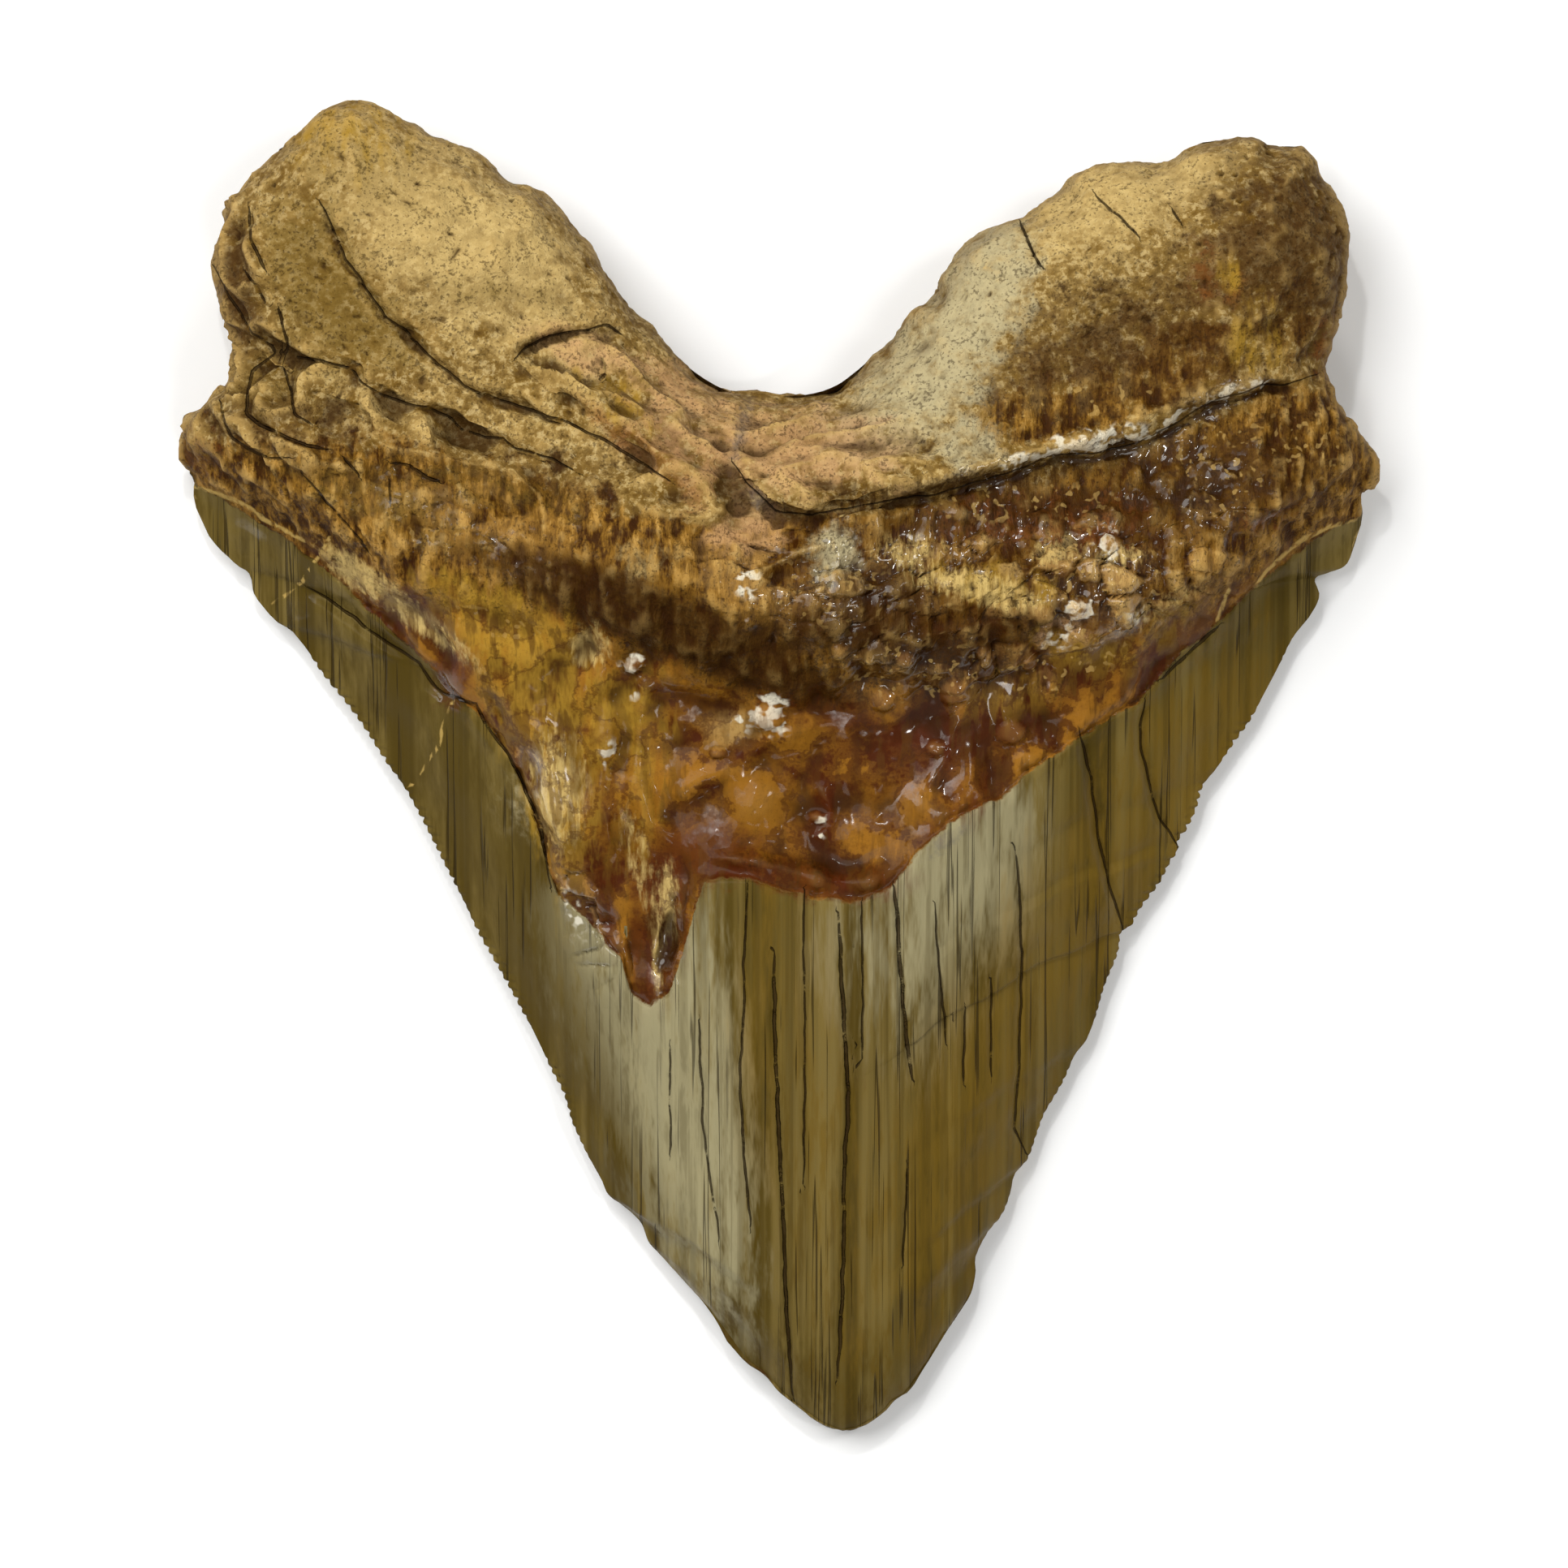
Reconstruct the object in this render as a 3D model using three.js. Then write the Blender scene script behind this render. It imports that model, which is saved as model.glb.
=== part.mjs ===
// A fossil tooth of a giant extinct shark, lying on its flatter outer face with the domed inner face up.
// Units are millimetres, +Z is up, +Y runs from the tip of the crown to the lobes of the root.
// The tooth grew as one piece, so it is one closed mesh: a fine sheet for the upper face and a coarser one
// for the lower face, laid out on one grid of columns and rows and sharing the rim where they meet.

import * as THREE from "three";

// Grid of the two faces. The lower face takes every second column and row.
const COLUMNS = 46;
const ROWS = 76;
const UNDERSIDE_STRIDE = 2;
const COLUMN_CROWDING = 0.5; // 0 spaces the columns evenly, 1 crowds them hard against both edges
const ROW_CROWDING = 0.35;

// Heights above the surface that the tooth lies on
const CUTTING_EDGE_HEIGHT = 2.3;
const ROOT_RIM_HEIGHT = 7.2;
const LOBE_HEIGHT = 15.5;
const ROOT_BULGE = 8;
const CROWN_RIDGE = [
  // distance along the tooth, height of the crown's middle
  [-57.4, 4.6],
  [-50, 7.6],
  [-40, 10.4],
  [-25, 14],
  [-10, 17],
  [10, 19.4],
  [60, 20],
];

// How far in from the rim each face takes to round over
const ROOT_ROUNDING = 11;
const UNDERSIDE_ROOT_ROUNDING = 9;
const UNDERSIDE_CROWN_ROUNDING = 15;
const CROWN_DOME_POWER = 2.1; // how square the crown's cross section is, and how thin its cutting edges
const CROWN_EDGE_THINNING = 1.15;
const TIP_ROUNDING = 6;

// Relief
const ENAMEL_STEP = 0.7; // the enamel stands this much above the band between crown and root
const BAND_DEPTH = 1.1; // that band is sunk below both its neighbours
const LEDGE_HALF_WIDTH = 1.6;
const RELIEF_FADE = 3.5; // the relief fades out over this distance from the rim

// The outline, seen from above, from the tip end up each side. Both sides start beside the tip.
const LEFT_SIDE = [
  [-4.4, -49.7], [-5.3, -48], [-6.5, -46.3], [-10.3, -42.1], [-11.2, -41.1], [-11.9, -39.4],
  [-13.5, -37.9], [-14.7, -37], [-15.3, -35.7], [-17.7, -30.9], [-18, -29.9], [-20.2, -24.9],
  [-23.8, -17.9], [-27.6, -10.7], [-30.6, -4.7], [-33.8, 0.4], [-37.3, 5.6], [-41.2, 10.7],
  [-43.2, 12.4], [-45.3, 14.9], [-45.7, 16.6], [-46.8, 17.4], [-49, 19.6], [-49.9, 21.2],
  [-50.5, 23.1], [-50.6, 24.9], [-51.1, 25.6], [-51.7, 26.6], [-51.6, 27.8], [-51.2, 28.9],
  [-50.8, 29.9], [-49, 31.5], [-47.6, 32.8], [-47.1, 33.7], [-47.4, 35], [-47.1, 36.8],
  [-47.4, 38], [-48.2, 39.2], [-48.6, 41.3], [-48.8, 43.4], [-48.5, 45.4], [-47.7, 46.9],
  [-47.4, 48.3], [-45.9, 50.2], [-43.6, 52.5], [-41, 54.4], [-40.1, 55.7], [-38.7, 56.8],
  [-36.9, 57.3],
];
const RIGHT_SIDE = [
  [14.8, -48.3], [16.6, -45.5], [17, -43.8], [17, -42.4], [18, -40.3], [19.3, -38.6],
  [20, -36.8], [20.4, -35.2], [21.4, -34], [22.2, -31.9], [22.9, -30], [25.6, -24.9],
  [26.6, -23.6], [28.1, -18.9], [29.6, -14.1], [30.2, -13.9], [31.1, -12.3], [32.8, -10],
  [34.4, -7.2], [34.4, -6.4], [36, -3.5], [36.6, -1.6], [39.4, 2.3], [40.9, 4.4],
  [43, 8.3], [44.4, 11.1], [46, 13.2], [46.7, 14.8], [46.3, 16.2], [47.4, 16.7],
  [49, 17.4], [49.8, 19.3], [50.4, 21.6], [50.3, 23.7], [51.3, 24.3], [51.8, 25.8],
  [51.1, 27.7], [49, 30], [47.8, 32.3], [47.3, 34.3], [47.7, 35.8], [48.4, 37.9],
  [49, 41.5], [49.3, 45.2], [48.7, 48], [47.6, 49.9], [46.7, 50.8], [46.2, 52.2],
  [45, 53.2], [42, 53.4], [40.1, 54],
];
const ROOT_EDGE = [
  // over the left lobe, through the notch and over the right lobe
  [-36.9, 57.3], [-35.4, 57], [-33.1, 56.1], [-30.8, 54.7], [-27.2, 53.3], [-24.8, 51.9],
  [-23, 50.3], [-21.6, 50.1], [-19.6, 48.7], [-17.4, 46.3], [-15.4, 44], [-14.2, 41.7],
  [-11.2, 37.7], [-8.4, 34.9], [-6.2, 33.2], [-3.9, 32.1], [-0.9, 31.8], [2.8, 32],
  [4.9, 32.7], [7.7, 34.9], [9.8, 36.8], [13.3, 40.3], [14.2, 42.4], [15.6, 44.6],
  [16.5, 45.4], [20.7, 46.9], [22.5, 48.2], [25.9, 50.8], [29.2, 51.9], [32.3, 52],
  [36.2, 53.6], [40.1, 54],
];
const TIP_EDGE = [
  [-4.4, -49.7], [-2.8, -51.5], [-1.2, -52.6], [0, -54], [1.5, -55.2], [3, -56.4],
  [4.3, -57.1], [5.9, -57.4], [7.3, -57], [9.2, -55.7], [11.2, -54], [12.6, -51.9],
  [14.8, -48.3],
];

// Where the enamel of the upper face ends, from the left shoulder to the right one
const ENAMEL_TOP = [
  [-53, 26], [-44.1, 20.7], [-39.2, 17.2], [-34.3, 12.6], [-30.1, 8.8], [-23.8, 1.8],
  [-20.8, -5], [-18.5, -11.5], [-14, -13.5], [-7.7, -10.4], [-2.8, -9.6], [2.8, -11.2],
  [7, -11.6], [10.5, -9.6], [12.6, -6], [16.8, -2.5], [25.9, 2.5], [30.8, 5.6],
  [37.8, 11.6], [42, 15.8], [49.8, 21], [53, 23],
];
// Where the root's swelling ends above that band
const ROOT_FOOT = [
  [-53, 27], [-39, 19.5], [-28, 14.5], [-17, 12], [-7, 7.5], [0, 5.5], [8, 6.5],
  [16, 8.5], [24, 10.5], [32, 14], [42, 20], [53, 26],
];
// Where the enamel of the lower face ends
const UNDERSIDE_ENAMEL_TOP = [
  [-53, 25], [-38, 21], [-20, 15.5], [0, 13], [20, 15], [38, 19], [53, 23],
];

// Ledges and furrows of the upper face: a line, its half width, its depth, and how much lower the ground
// lies on the right of the line, walking along it
const FURROWS = [
  {
    // the split that parts the left lobe and runs to the middle
    line: [[-38.2, 44.5], [-33, 38.5], [-28, 33.5], [-24, 31.2], [-18.2, 29.2], [-12, 25.8], [-8, 24]],
    halfWidth: 2.8, depth: 0.9, drop: 0.5,
  },
  {
    // the ledge below it, across the left shoulder
    line: [[-43, 36], [-39, 34.6], [-35.4, 32.8], [-32, 31], [-26, 28], [-20, 26.2], [-14, 23]],
    halfWidth: 2.8, depth: 0.7, drop: 1,
  },
  {
    // the crease on the flank of the left lobe
    line: [[-24, 34.2], [-21.7, 35.7], [-19.6, 36.8], [-16.5, 37.3], [-13.3, 36.9]],
    halfWidth: 2.2, depth: 0.6, drop: 0.8,
  },
  {
    // the long shining ledge across the right lobe
    line: [[0, 21.4], [5.5, 21.5], [9.8, 22.6], [15.4, 24.2], [20, 25.6], [27, 27.2], [33, 28], [36.4, 29.4],
      [40.6, 31.8], [45, 33.4]],
    halfWidth: 3, depth: 1.1, drop: 1.8,
  },
  {
    // the slabs of enamel that have slipped at the right cutting edge
    line: [[25.9, 2.4], [26.4, -1], [27.3, -6], [28, -8.8], [30.2, -13.8]],
    halfWidth: 2.2, depth: 0.7, drop: 0,
  },
  {
    line: [[31.6, 6], [31, 2.8], [32.2, -1.8], [33.4, -4.6], [34.4, -7]],
    halfWidth: 2.2, depth: 0.7, drop: 0,
  },
  {
    // the open seam between the left enamel and the yellow band
    line: [[-36, 15], [-31.5, 10.4], [-28.8, 7.4], [-25, 4], [-22, -1.4], [-19.8, -10]],
    halfWidth: 2.6, depth: 1, drop: 0,
  },
];

// Swellings and hollows of the upper face: centre, half sizes along X and Y, height
const LUMPS = [
  [-30, 43, 11, 10, 1.6],
  [-43, 29, 6, 5, 0.9],
  [-21, 20, 9, 4, -0.7],
  [-9, 15, 8, 6, 0.8],
  [8, 27, 8, 4, 0.7],
  [22, 40, 9, 8, 1.3],
  [39, 41, 8, 9, 0.8],
  [38, 24, 9, 5, -0.8],
  [-15, -4, 4, 6, 0.8],
  [-2, -3, 6, 4, 0.9],
  [9, -2, 5, 5, 0.8],
  [14, 16, 9, 4, -0.9],
  [25, 12, 6, 4, 0.7],
  [-30, 5, 5, 8, -0.4],
  [-17, 32.5, 4.5, 3, 1],
  [-9.5, 28, 4.5, 3, 1],
  [-43.5, 31, 4, 4, 0.8],
  [-23, 40, 8, 2.5, -0.6],
  [-39, 42, 4, 7, -0.7],
  [30, 36, 8, 3.5, -0.7],
  [14, 34, 4, 6, 0.7],
];

// Swellings and hollows of the lower face, in the same form; a height lifts the face off the surface
const UNDERSIDE_LUMPS = [
  [0, 26, 17, 9, 3],
  [-22, 18, 8, 7, 1.2],
  [24, 17, 8, 6, 1.1],
  [-44, 26, 6, 8, 1.8],
  [45, 25, 6, 8, 1.8],
  [-42, 52, 9, 6, 2],
  [42, 50, 9, 6, 2],
  [5, -52, 14, 12, 1.5],
];
const UNDERSIDE_SUNK = 0.5; // the lower face is cut off flat where it would reach this far below the surface

const smoothstep = THREE.MathUtils.smoothstep;
const lerp = THREE.MathUtils.lerp;

// Height of a curve given as points, at a distance x along it.
function heightAlong(points, x) {
  const next = points.findIndex(([px]) => px > x);
  if (next <= 0) return next === 0 ? points[0][1] : points[points.length - 1][1];
  const [x0, y0] = points[next - 1];
  const [x1, y1] = points[next];
  return lerp(y0, y1, (x - x0) / (x1 - x0));
}

// Distance from a point to a line of points, and the same distance below 0 on the left of the line.
function toLine(line, x, y) {
  let nearest = { distance: Infinity, signed: Infinity };
  for (let i = 1; i < line.length; i++) {
    const [ax, ay] = line[i - 1];
    const [dx, dy] = [line[i][0] - ax, line[i][1] - ay];
    const along = THREE.MathUtils.clamp(((x - ax) * dx + (y - ay) * dy) / (dx * dx + dy * dy), 0, 1);
    const distance = Math.hypot(x - ax - along * dx, y - ay - along * dy);
    if (distance < nearest.distance) {
      const onLeft = (y - ay) * dx - (x - ax) * dy > 0;
      nearest = { distance, signed: onLeft ? -distance : distance };
    }
  }
  return nearest;
}

// Sum of rounded bumps at a point.
function bumps(list, x, y) {
  return list.reduce(
    (sum, [cx, cy, rx, ry, height]) => sum + height * Math.exp(-(((x - cx) / rx) ** 2) - ((y - cy) / ry) ** 2),
    0,
  );
}

// A smooth curve through flat points, measured finely enough to be walked at an even pace.
function sideCurve(points) {
  const curve = new THREE.CatmullRomCurve3(
    points.map(([x, y]) => new THREE.Vector3(x, y, 0)),
    false,
    "centripetal",
  );
  curve.arcLengthDivisions = 1200;
  return curve;
}
const left = sideCurve(LEFT_SIDE);
const right = sideCurve(RIGHT_SIDE);
const rootEdge = sideCurve(ROOT_EDGE);
const tipEdge = sideCurve(TIP_EDGE);

// The point of the outline's inside at u across and v up: the patch that blends the four sides.
function patchPoint(u, v) {
  const sides = left.getPointAt(v).lerp(right.getPointAt(v), u);
  const ends = tipEdge.getPointAt(u).lerp(rootEdge.getPointAt(u), v);
  const low = left.getPointAt(0).lerp(right.getPointAt(0), u);
  const corners = low.lerp(left.getPointAt(1).lerp(right.getPointAt(1), u), v);
  return sides.add(ends).sub(corners);
}

const crowd = (t, amount) => lerp(t, (1 - Math.cos(Math.PI * t)) / 2, amount);
const across = (column) => crowd(column / COLUMNS, COLUMN_CROWDING);
const along = (row) => crowd(row / ROWS, ROW_CROWDING);

// The rim as a closed line, for measuring how far inside it a point lies.
const RIM_STEPS = 160;
const rimLine = [];
for (const [curve, backwards] of [[tipEdge, false], [right, false], [rootEdge, true], [left, true]])
  for (let i = 0; i < RIM_STEPS; i++) {
    const p = curve.getPointAt(backwards ? 1 - i / RIM_STEPS : i / RIM_STEPS);
    rimLine.push([p.x, p.y]);
  }
rimLine.push(rimLine[0]);

// 0 on the crown, 1 on the root, turning over a few millimetres above the enamel's edge.
const rootShare = (x, y, edge) => smoothstep(y - heightAlong(edge, x), -2, 9);
const rimHeight = (x, y) => lerp(CUTTING_EDGE_HEIGHT, ROOT_RIM_HEIGHT, rootShare(x, y, ENAMEL_TOP));
const roundOver = (distance, radius) => Math.sqrt(1 - (1 - Math.min(distance / radius, 1)) ** 2);

// Height of the upper face at a point that lies a distance inside the rim, at u across.
function upperHeight(x, y, u, distance) {
  const rim = rimHeight(x, y);
  const root = rootShare(x, y, ENAMEL_TOP);
  const dome = (1 - Math.abs(2 * u - 1) ** CROWN_DOME_POWER) ** CROWN_EDGE_THINNING;
  const fromTip = toLine(TIP_EDGE, x, y).distance;
  const crownHeight = (heightAlong(CROWN_RIDGE, y) - rim) * dome * roundOver(fromTip, TIP_ROUNDING);
  const bulge = ROOT_BULGE * Math.exp(-((x / 27) ** 2) - ((y - 18) / 12) ** 2);
  const rootHeight = (LOBE_HEIGHT + bulge - rim) * roundOver(distance, ROOT_ROUNDING);
  let relief = bumps(LUMPS, x, y);
  for (const { line, halfWidth, depth, drop } of FURROWS) {
    const near = toLine(line, x, y);
    const fromEnds = Math.min(...[line[0], line.at(-1)].map(([ex, ey]) => Math.hypot(x - ex, y - ey)));
    const below = smoothstep(near.signed, -LEDGE_HALF_WIDTH, LEDGE_HALF_WIDTH);
    relief -= depth * (1 - smoothstep(near.distance, 0, halfWidth));
    relief -= drop * below * (1 - smoothstep(near.distance, 3, 11)) * smoothstep(fromEnds, 0, 6);
  }
  const aboveEnamel = y - heightAlong(ENAMEL_TOP, x);
  const belowRoot = heightAlong(ROOT_FOOT, x) - y;
  relief -= ENAMEL_STEP * smoothstep(aboveEnamel, -1, 1.5) * smoothstep(belowRoot, -4, 2);
  relief -= BAND_DEPTH * smoothstep(aboveEnamel, 0, 4) * smoothstep(belowRoot, -3, 2);
  return rim + lerp(crownHeight, rootHeight, root) + relief * smoothstep(distance, 0, RELIEF_FADE);
}

// Height of the lower face: flat at 0 where the tooth rests, rising to the rim.
function lowerHeight(x, y, distance) {
  const root = rootShare(x, y, ENAMEL_TOP);
  const crownRound = 1 - (1 - Math.min(distance / UNDERSIDE_CROWN_ROUNDING, 1)) ** 2;
  const rounded = lerp(crownRound, roundOver(distance, UNDERSIDE_ROOT_ROUNDING), root);
  const enamel = smoothstep(y - heightAlong(UNDERSIDE_ENAMEL_TOP, x), -0.5, 1) * 0.5;
  const floor = rimHeight(x, y) * (1 - rounded) + bumps(UNDERSIDE_LUMPS, x, y) + enamel - UNDERSIDE_SUNK;
  return Math.max(0, floor);
}

// Vertices, made once each. Both faces use the ones on the rim.
const positions = [];
const indexOf = new Map();
function vertex(face, column, row) {
  const onRim = column === 0 || column === COLUMNS || row === 0 || row === ROWS;
  const key = `${onRim ? "rim" : face} ${column} ${row}`;
  if (!indexOf.has(key)) {
    const u = across(column);
    const p = patchPoint(u, along(row));
    const { distance } = toLine(rimLine, p.x, p.y);
    let z = rimHeight(p.x, p.y);
    if (!onRim) z = face === "upper" ? upperHeight(p.x, p.y, u, distance) : lowerHeight(p.x, p.y, distance);
    indexOf.set(key, positions.length / 3);
    positions.push(p.x, p.y, z);
  }
  return indexOf.get(key);
}

// Each cell of a face is a fan of triangles. The rim has a point at every half column and half row, so a
// cell that lies on it has those points on its edge as well.
const triangles = [];
function addCell(face, column, row, stride) {
  const corners = [[0, 0], [1, 0], [1, 1], [0, 1]].map(([c, r]) => [column + c * stride, row + r * stride]);
  const loop = [];
  corners.forEach((from, i) => {
    const to = corners[(i + 1) % 4];
    const onRim = [COLUMNS, ROWS].some((last, k) => from[k] === to[k] && (from[k] === 0 || from[k] === last));
    const steps = onRim ? 2 * stride : 1;
    for (let step = 0; step < steps; step++) {
      loop.push([lerp(from[0], to[0], step / steps), lerp(from[1], to[1], step / steps)]);
    }
  });
  // The fan starts from a corner inside the rim, so that no triangle is flat along it.
  const inside = loop.findIndex(([c, r]) => c > 0 && c < COLUMNS && r > 0 && r < ROWS);
  const ring = [...loop.slice(inside), ...loop.slice(0, inside)].map(([c, r]) => vertex(face, c, r));
  for (let i = 1; i < ring.length - 1; i++) {
    const fan = [ring[0], ring[i], ring[i + 1]];
    triangles.push(...(face === "upper" ? fan : fan.reverse()));
  }
}
for (const [face, stride] of [["upper", 1], ["lower", UNDERSIDE_STRIDE]])
  for (let row = 0; row < ROWS; row += stride)
    for (let column = 0; column < COLUMNS; column += stride) addCell(face, column, row, stride);

const geometry = new THREE.BufferGeometry();
geometry.setAttribute("position", new THREE.Float32BufferAttribute(positions, 3));
geometry.setIndex(triangles);
geometry.computeVertexNormals();

const fossil = new THREE.MeshStandardMaterial({ color: 0x84693f, roughness: 0.5, metalness: 0 });
const tooth = new THREE.Mesh(geometry, fossil);
tooth.name = "tooth";

// The origin is the middle of the outline, on the surface that the tooth lies on.
geometry.computeBoundingBox();
const middle = geometry.boundingBox.getCenter(new THREE.Vector3());
tooth.position.set(-middle.x, -middle.y, 0);

const part = new THREE.Group();
part.add(tooth);

export default part;
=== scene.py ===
# %% [markdown]
# # A giant shark's tooth
# The real tooth lies on a table with its domed inner face up: a brown enamelled crown with its tip towards
# us, a forked bony root at the back, and a band of old gum line between them that a coat of lacquer has
# turned glossy. The CAD model fixes the size and the place. This notebook makes the fine skin that covers
# it, with its ledges, cracks and pores, and then paints it.

import bmesh
import bpy
import numpy as np
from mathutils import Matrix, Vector
from mathutils.kdtree import KDTree


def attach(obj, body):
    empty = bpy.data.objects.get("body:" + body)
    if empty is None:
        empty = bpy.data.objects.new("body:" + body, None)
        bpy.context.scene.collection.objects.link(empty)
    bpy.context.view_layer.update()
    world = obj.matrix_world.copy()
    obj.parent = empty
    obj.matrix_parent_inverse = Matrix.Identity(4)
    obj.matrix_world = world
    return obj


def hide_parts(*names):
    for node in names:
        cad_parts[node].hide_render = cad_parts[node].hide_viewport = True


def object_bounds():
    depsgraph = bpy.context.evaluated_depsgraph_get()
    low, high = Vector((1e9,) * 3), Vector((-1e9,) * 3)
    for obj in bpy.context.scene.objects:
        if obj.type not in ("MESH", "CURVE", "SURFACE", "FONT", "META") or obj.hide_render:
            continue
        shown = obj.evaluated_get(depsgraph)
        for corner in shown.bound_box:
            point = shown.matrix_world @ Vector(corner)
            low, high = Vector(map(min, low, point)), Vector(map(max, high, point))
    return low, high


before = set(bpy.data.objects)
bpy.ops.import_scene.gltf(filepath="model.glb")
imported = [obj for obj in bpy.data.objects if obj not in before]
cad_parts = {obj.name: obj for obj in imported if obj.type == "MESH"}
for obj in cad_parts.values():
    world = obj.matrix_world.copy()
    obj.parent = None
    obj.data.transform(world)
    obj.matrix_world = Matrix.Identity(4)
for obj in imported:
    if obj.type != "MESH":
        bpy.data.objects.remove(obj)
cad_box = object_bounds()
MM = 0.001
print("CAD box in mm:", [[round(c / MM, 1) for c in corner] for corner in cad_box])

# %% [markdown]
# ## The camera
# The photograph looks straight down. A long lens from far away keeps the thick parts from looking larger
# than the thin ones, as a photograph for a catalogue does. The frame is 135.24 mm wide at the tooth, and the
# middle of the picture lies a little below the middle of the tooth.

# %% The camera
PICTURE_WIDTH = 135.24 * MM
PICTURE_MIDDLE = (0.43 * MM, -1.47 * MM)
CAMERA_HEIGHT = 1.2
RIM_ABOVE_TABLE = 4 * MM
FILM_WIDTH = 36


def add_object(name, data):
    """Puts a new object into the scene."""
    added = bpy.data.objects.new(name, data)
    bpy.context.collection.objects.link(added)
    return added


lens = bpy.data.cameras.new("long_lens")
lens.sensor_width = FILM_WIDTH
lens.lens = FILM_WIDTH * (CAMERA_HEIGHT - RIM_ABOVE_TABLE) / PICTURE_WIDTH
lens.clip_end = 50
camera = add_object("camera", lens)
camera.location = (*PICTURE_MIDDLE, CAMERA_HEIGHT)
bpy.context.scene.camera = camera
print("lens in mm:", round(lens.lens))

# %% [markdown]
# ## The outline
# The outline is read from the photograph as four lines: the left side and the right side, both from the tip
# upwards, the edge of the root with its deep notch, and the blunt end of the tip. A smooth curve through the
# points of each one gives the rim. The numbers are the CAD model's own.

# %% Four lines of the outline, in millimetres
LEFT_SIDE = [
    (-4.4, -49.7), (-5.3, -48), (-6.5, -46.3), (-8.4, -44.2), (-10.3, -42.1), (-11.2, -41.1),
    (-11.9, -39.4), (-13.5, -37.9), (-14.7, -37), (-15.3, -35.7), (-16.5, -33.5), (-17.7, -30.9),
    (-18, -29.9), (-18.4, -28.5), (-20.2, -24.9), (-21.9, -21.4), (-23.8, -17.9), (-25.9, -14.2),
    (-27.6, -10.7), (-29.1, -7.7), (-30.6, -4.7), (-32.2, -1.9), (-33.8, 0.4), (-35.6, 3.2), (-37.3, 5.6),
    (-39.2, 7.9), (-41.2, 10.7), (-42.2, 11.8), (-43.2, 12.4), (-44.3, 13.5), (-45.3, 14.9), (-45.7, 16.6),
    (-46.8, 17.4), (-47.9, 18.4), (-49, 19.6), (-49.9, 21.2), (-50.5, 23.1), (-50.6, 24.9), (-51.1, 25.6),
    (-51.7, 26.6), (-51.6, 27.8), (-51.2, 28.9), (-50.8, 29.9), (-49, 31.5), (-47.6, 32.8), (-47.1, 33.7),
    (-47.4, 35), (-47.1, 36.8), (-47.4, 38), (-48.2, 39.2), (-48.6, 41.3), (-48.8, 43.4), (-48.5, 45.4),
    (-47.7, 46.9), (-47.4, 48.3), (-45.9, 50.2), (-43.6, 52.5), (-42.3, 53.6), (-41, 54.4), (-40.1, 55.7),
    (-38.7, 56.8), (-36.9, 57.3),
]
RIGHT_SIDE = [
    (14.8, -48.3), (16.6, -45.5), (17, -43.8), (17, -42.4), (18, -40.3), (19.3, -38.6), (20, -36.8),
    (20.4, -35.2), (21.4, -34), (22.2, -31.9), (22.9, -30), (24.5, -27.3), (25.6, -24.9), (26.6, -23.6),
    (27.3, -21.7), (28.1, -18.9), (29.2, -16.1), (29.6, -14.1), (30.2, -13.9), (31.1, -12.3), (32.8, -10),
    (33.8, -8.1), (34.4, -7.2), (34.4, -6.4), (35.2, -5.3), (36, -3.5), (36.6, -1.6), (37.7, -0.3),
    (39.4, 2.3), (40.9, 4.4), (43, 8.3), (44.4, 11.1), (46, 13.2), (46.7, 14.8), (46.3, 16.2), (47.4, 16.7),
    (49, 17.4), (49.8, 19.3), (50.4, 21.6), (50.3, 23.7), (51.3, 24.3), (51.8, 25.8), (51.1, 27.7),
    (49, 30), (47.8, 32.3), (47.3, 34.3), (47.7, 35.8), (48.4, 37.9), (49, 41.5), (49.3, 45.2), (48.7, 48),
    (47.6, 49.9), (46.7, 50.8), (46.2, 52.2), (45, 53.2), (43.2, 53.3), (42, 53.4), (41.1, 53.9),
    (40.1, 54),
]
ROOT_EDGE = [
    (-36.9, 57.3), (-35.4, 57), (-33.1, 56.1), (-30.8, 54.7), (-29.4, 53.9), (-27.2, 53.3), (-24.8, 51.9),
    (-23, 50.3), (-21.6, 50.1), (-19.6, 48.7), (-17.4, 46.3), (-15.4, 44), (-14.2, 41.7), (-13.2, 40.1),
    (-11.2, 37.7), (-8.4, 34.9), (-6.2, 33.2), (-3.9, 32.1), (-0.9, 31.8), (2.8, 32), (4.9, 32.7),
    (6.7, 34), (7.7, 34.9), (9.8, 36.8), (11.7, 39), (13.3, 40.3), (14.2, 42.4), (15.6, 44.6), (16.5, 45.4),
    (18.5, 46.4), (20.7, 46.9), (22.5, 48.2), (24.3, 49.4), (25.9, 50.8), (29.2, 51.9), (32.3, 52),
    (34.4, 52.7), (36.2, 53.6), (38.5, 53.8), (40.1, 54),
]
TIP_EDGE = [
    (-4.4, -49.7), (-2.8, -51.5), (-1.2, -52.6), (0, -54), (1.5, -55.2), (3, -56.4), (4.3, -57.1),
    (5.9, -57.4), (7.3, -57), (9.2, -55.7), (10, -54.8), (11.2, -54), (12.6, -51.9), (14.8, -48.3),
]

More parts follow.
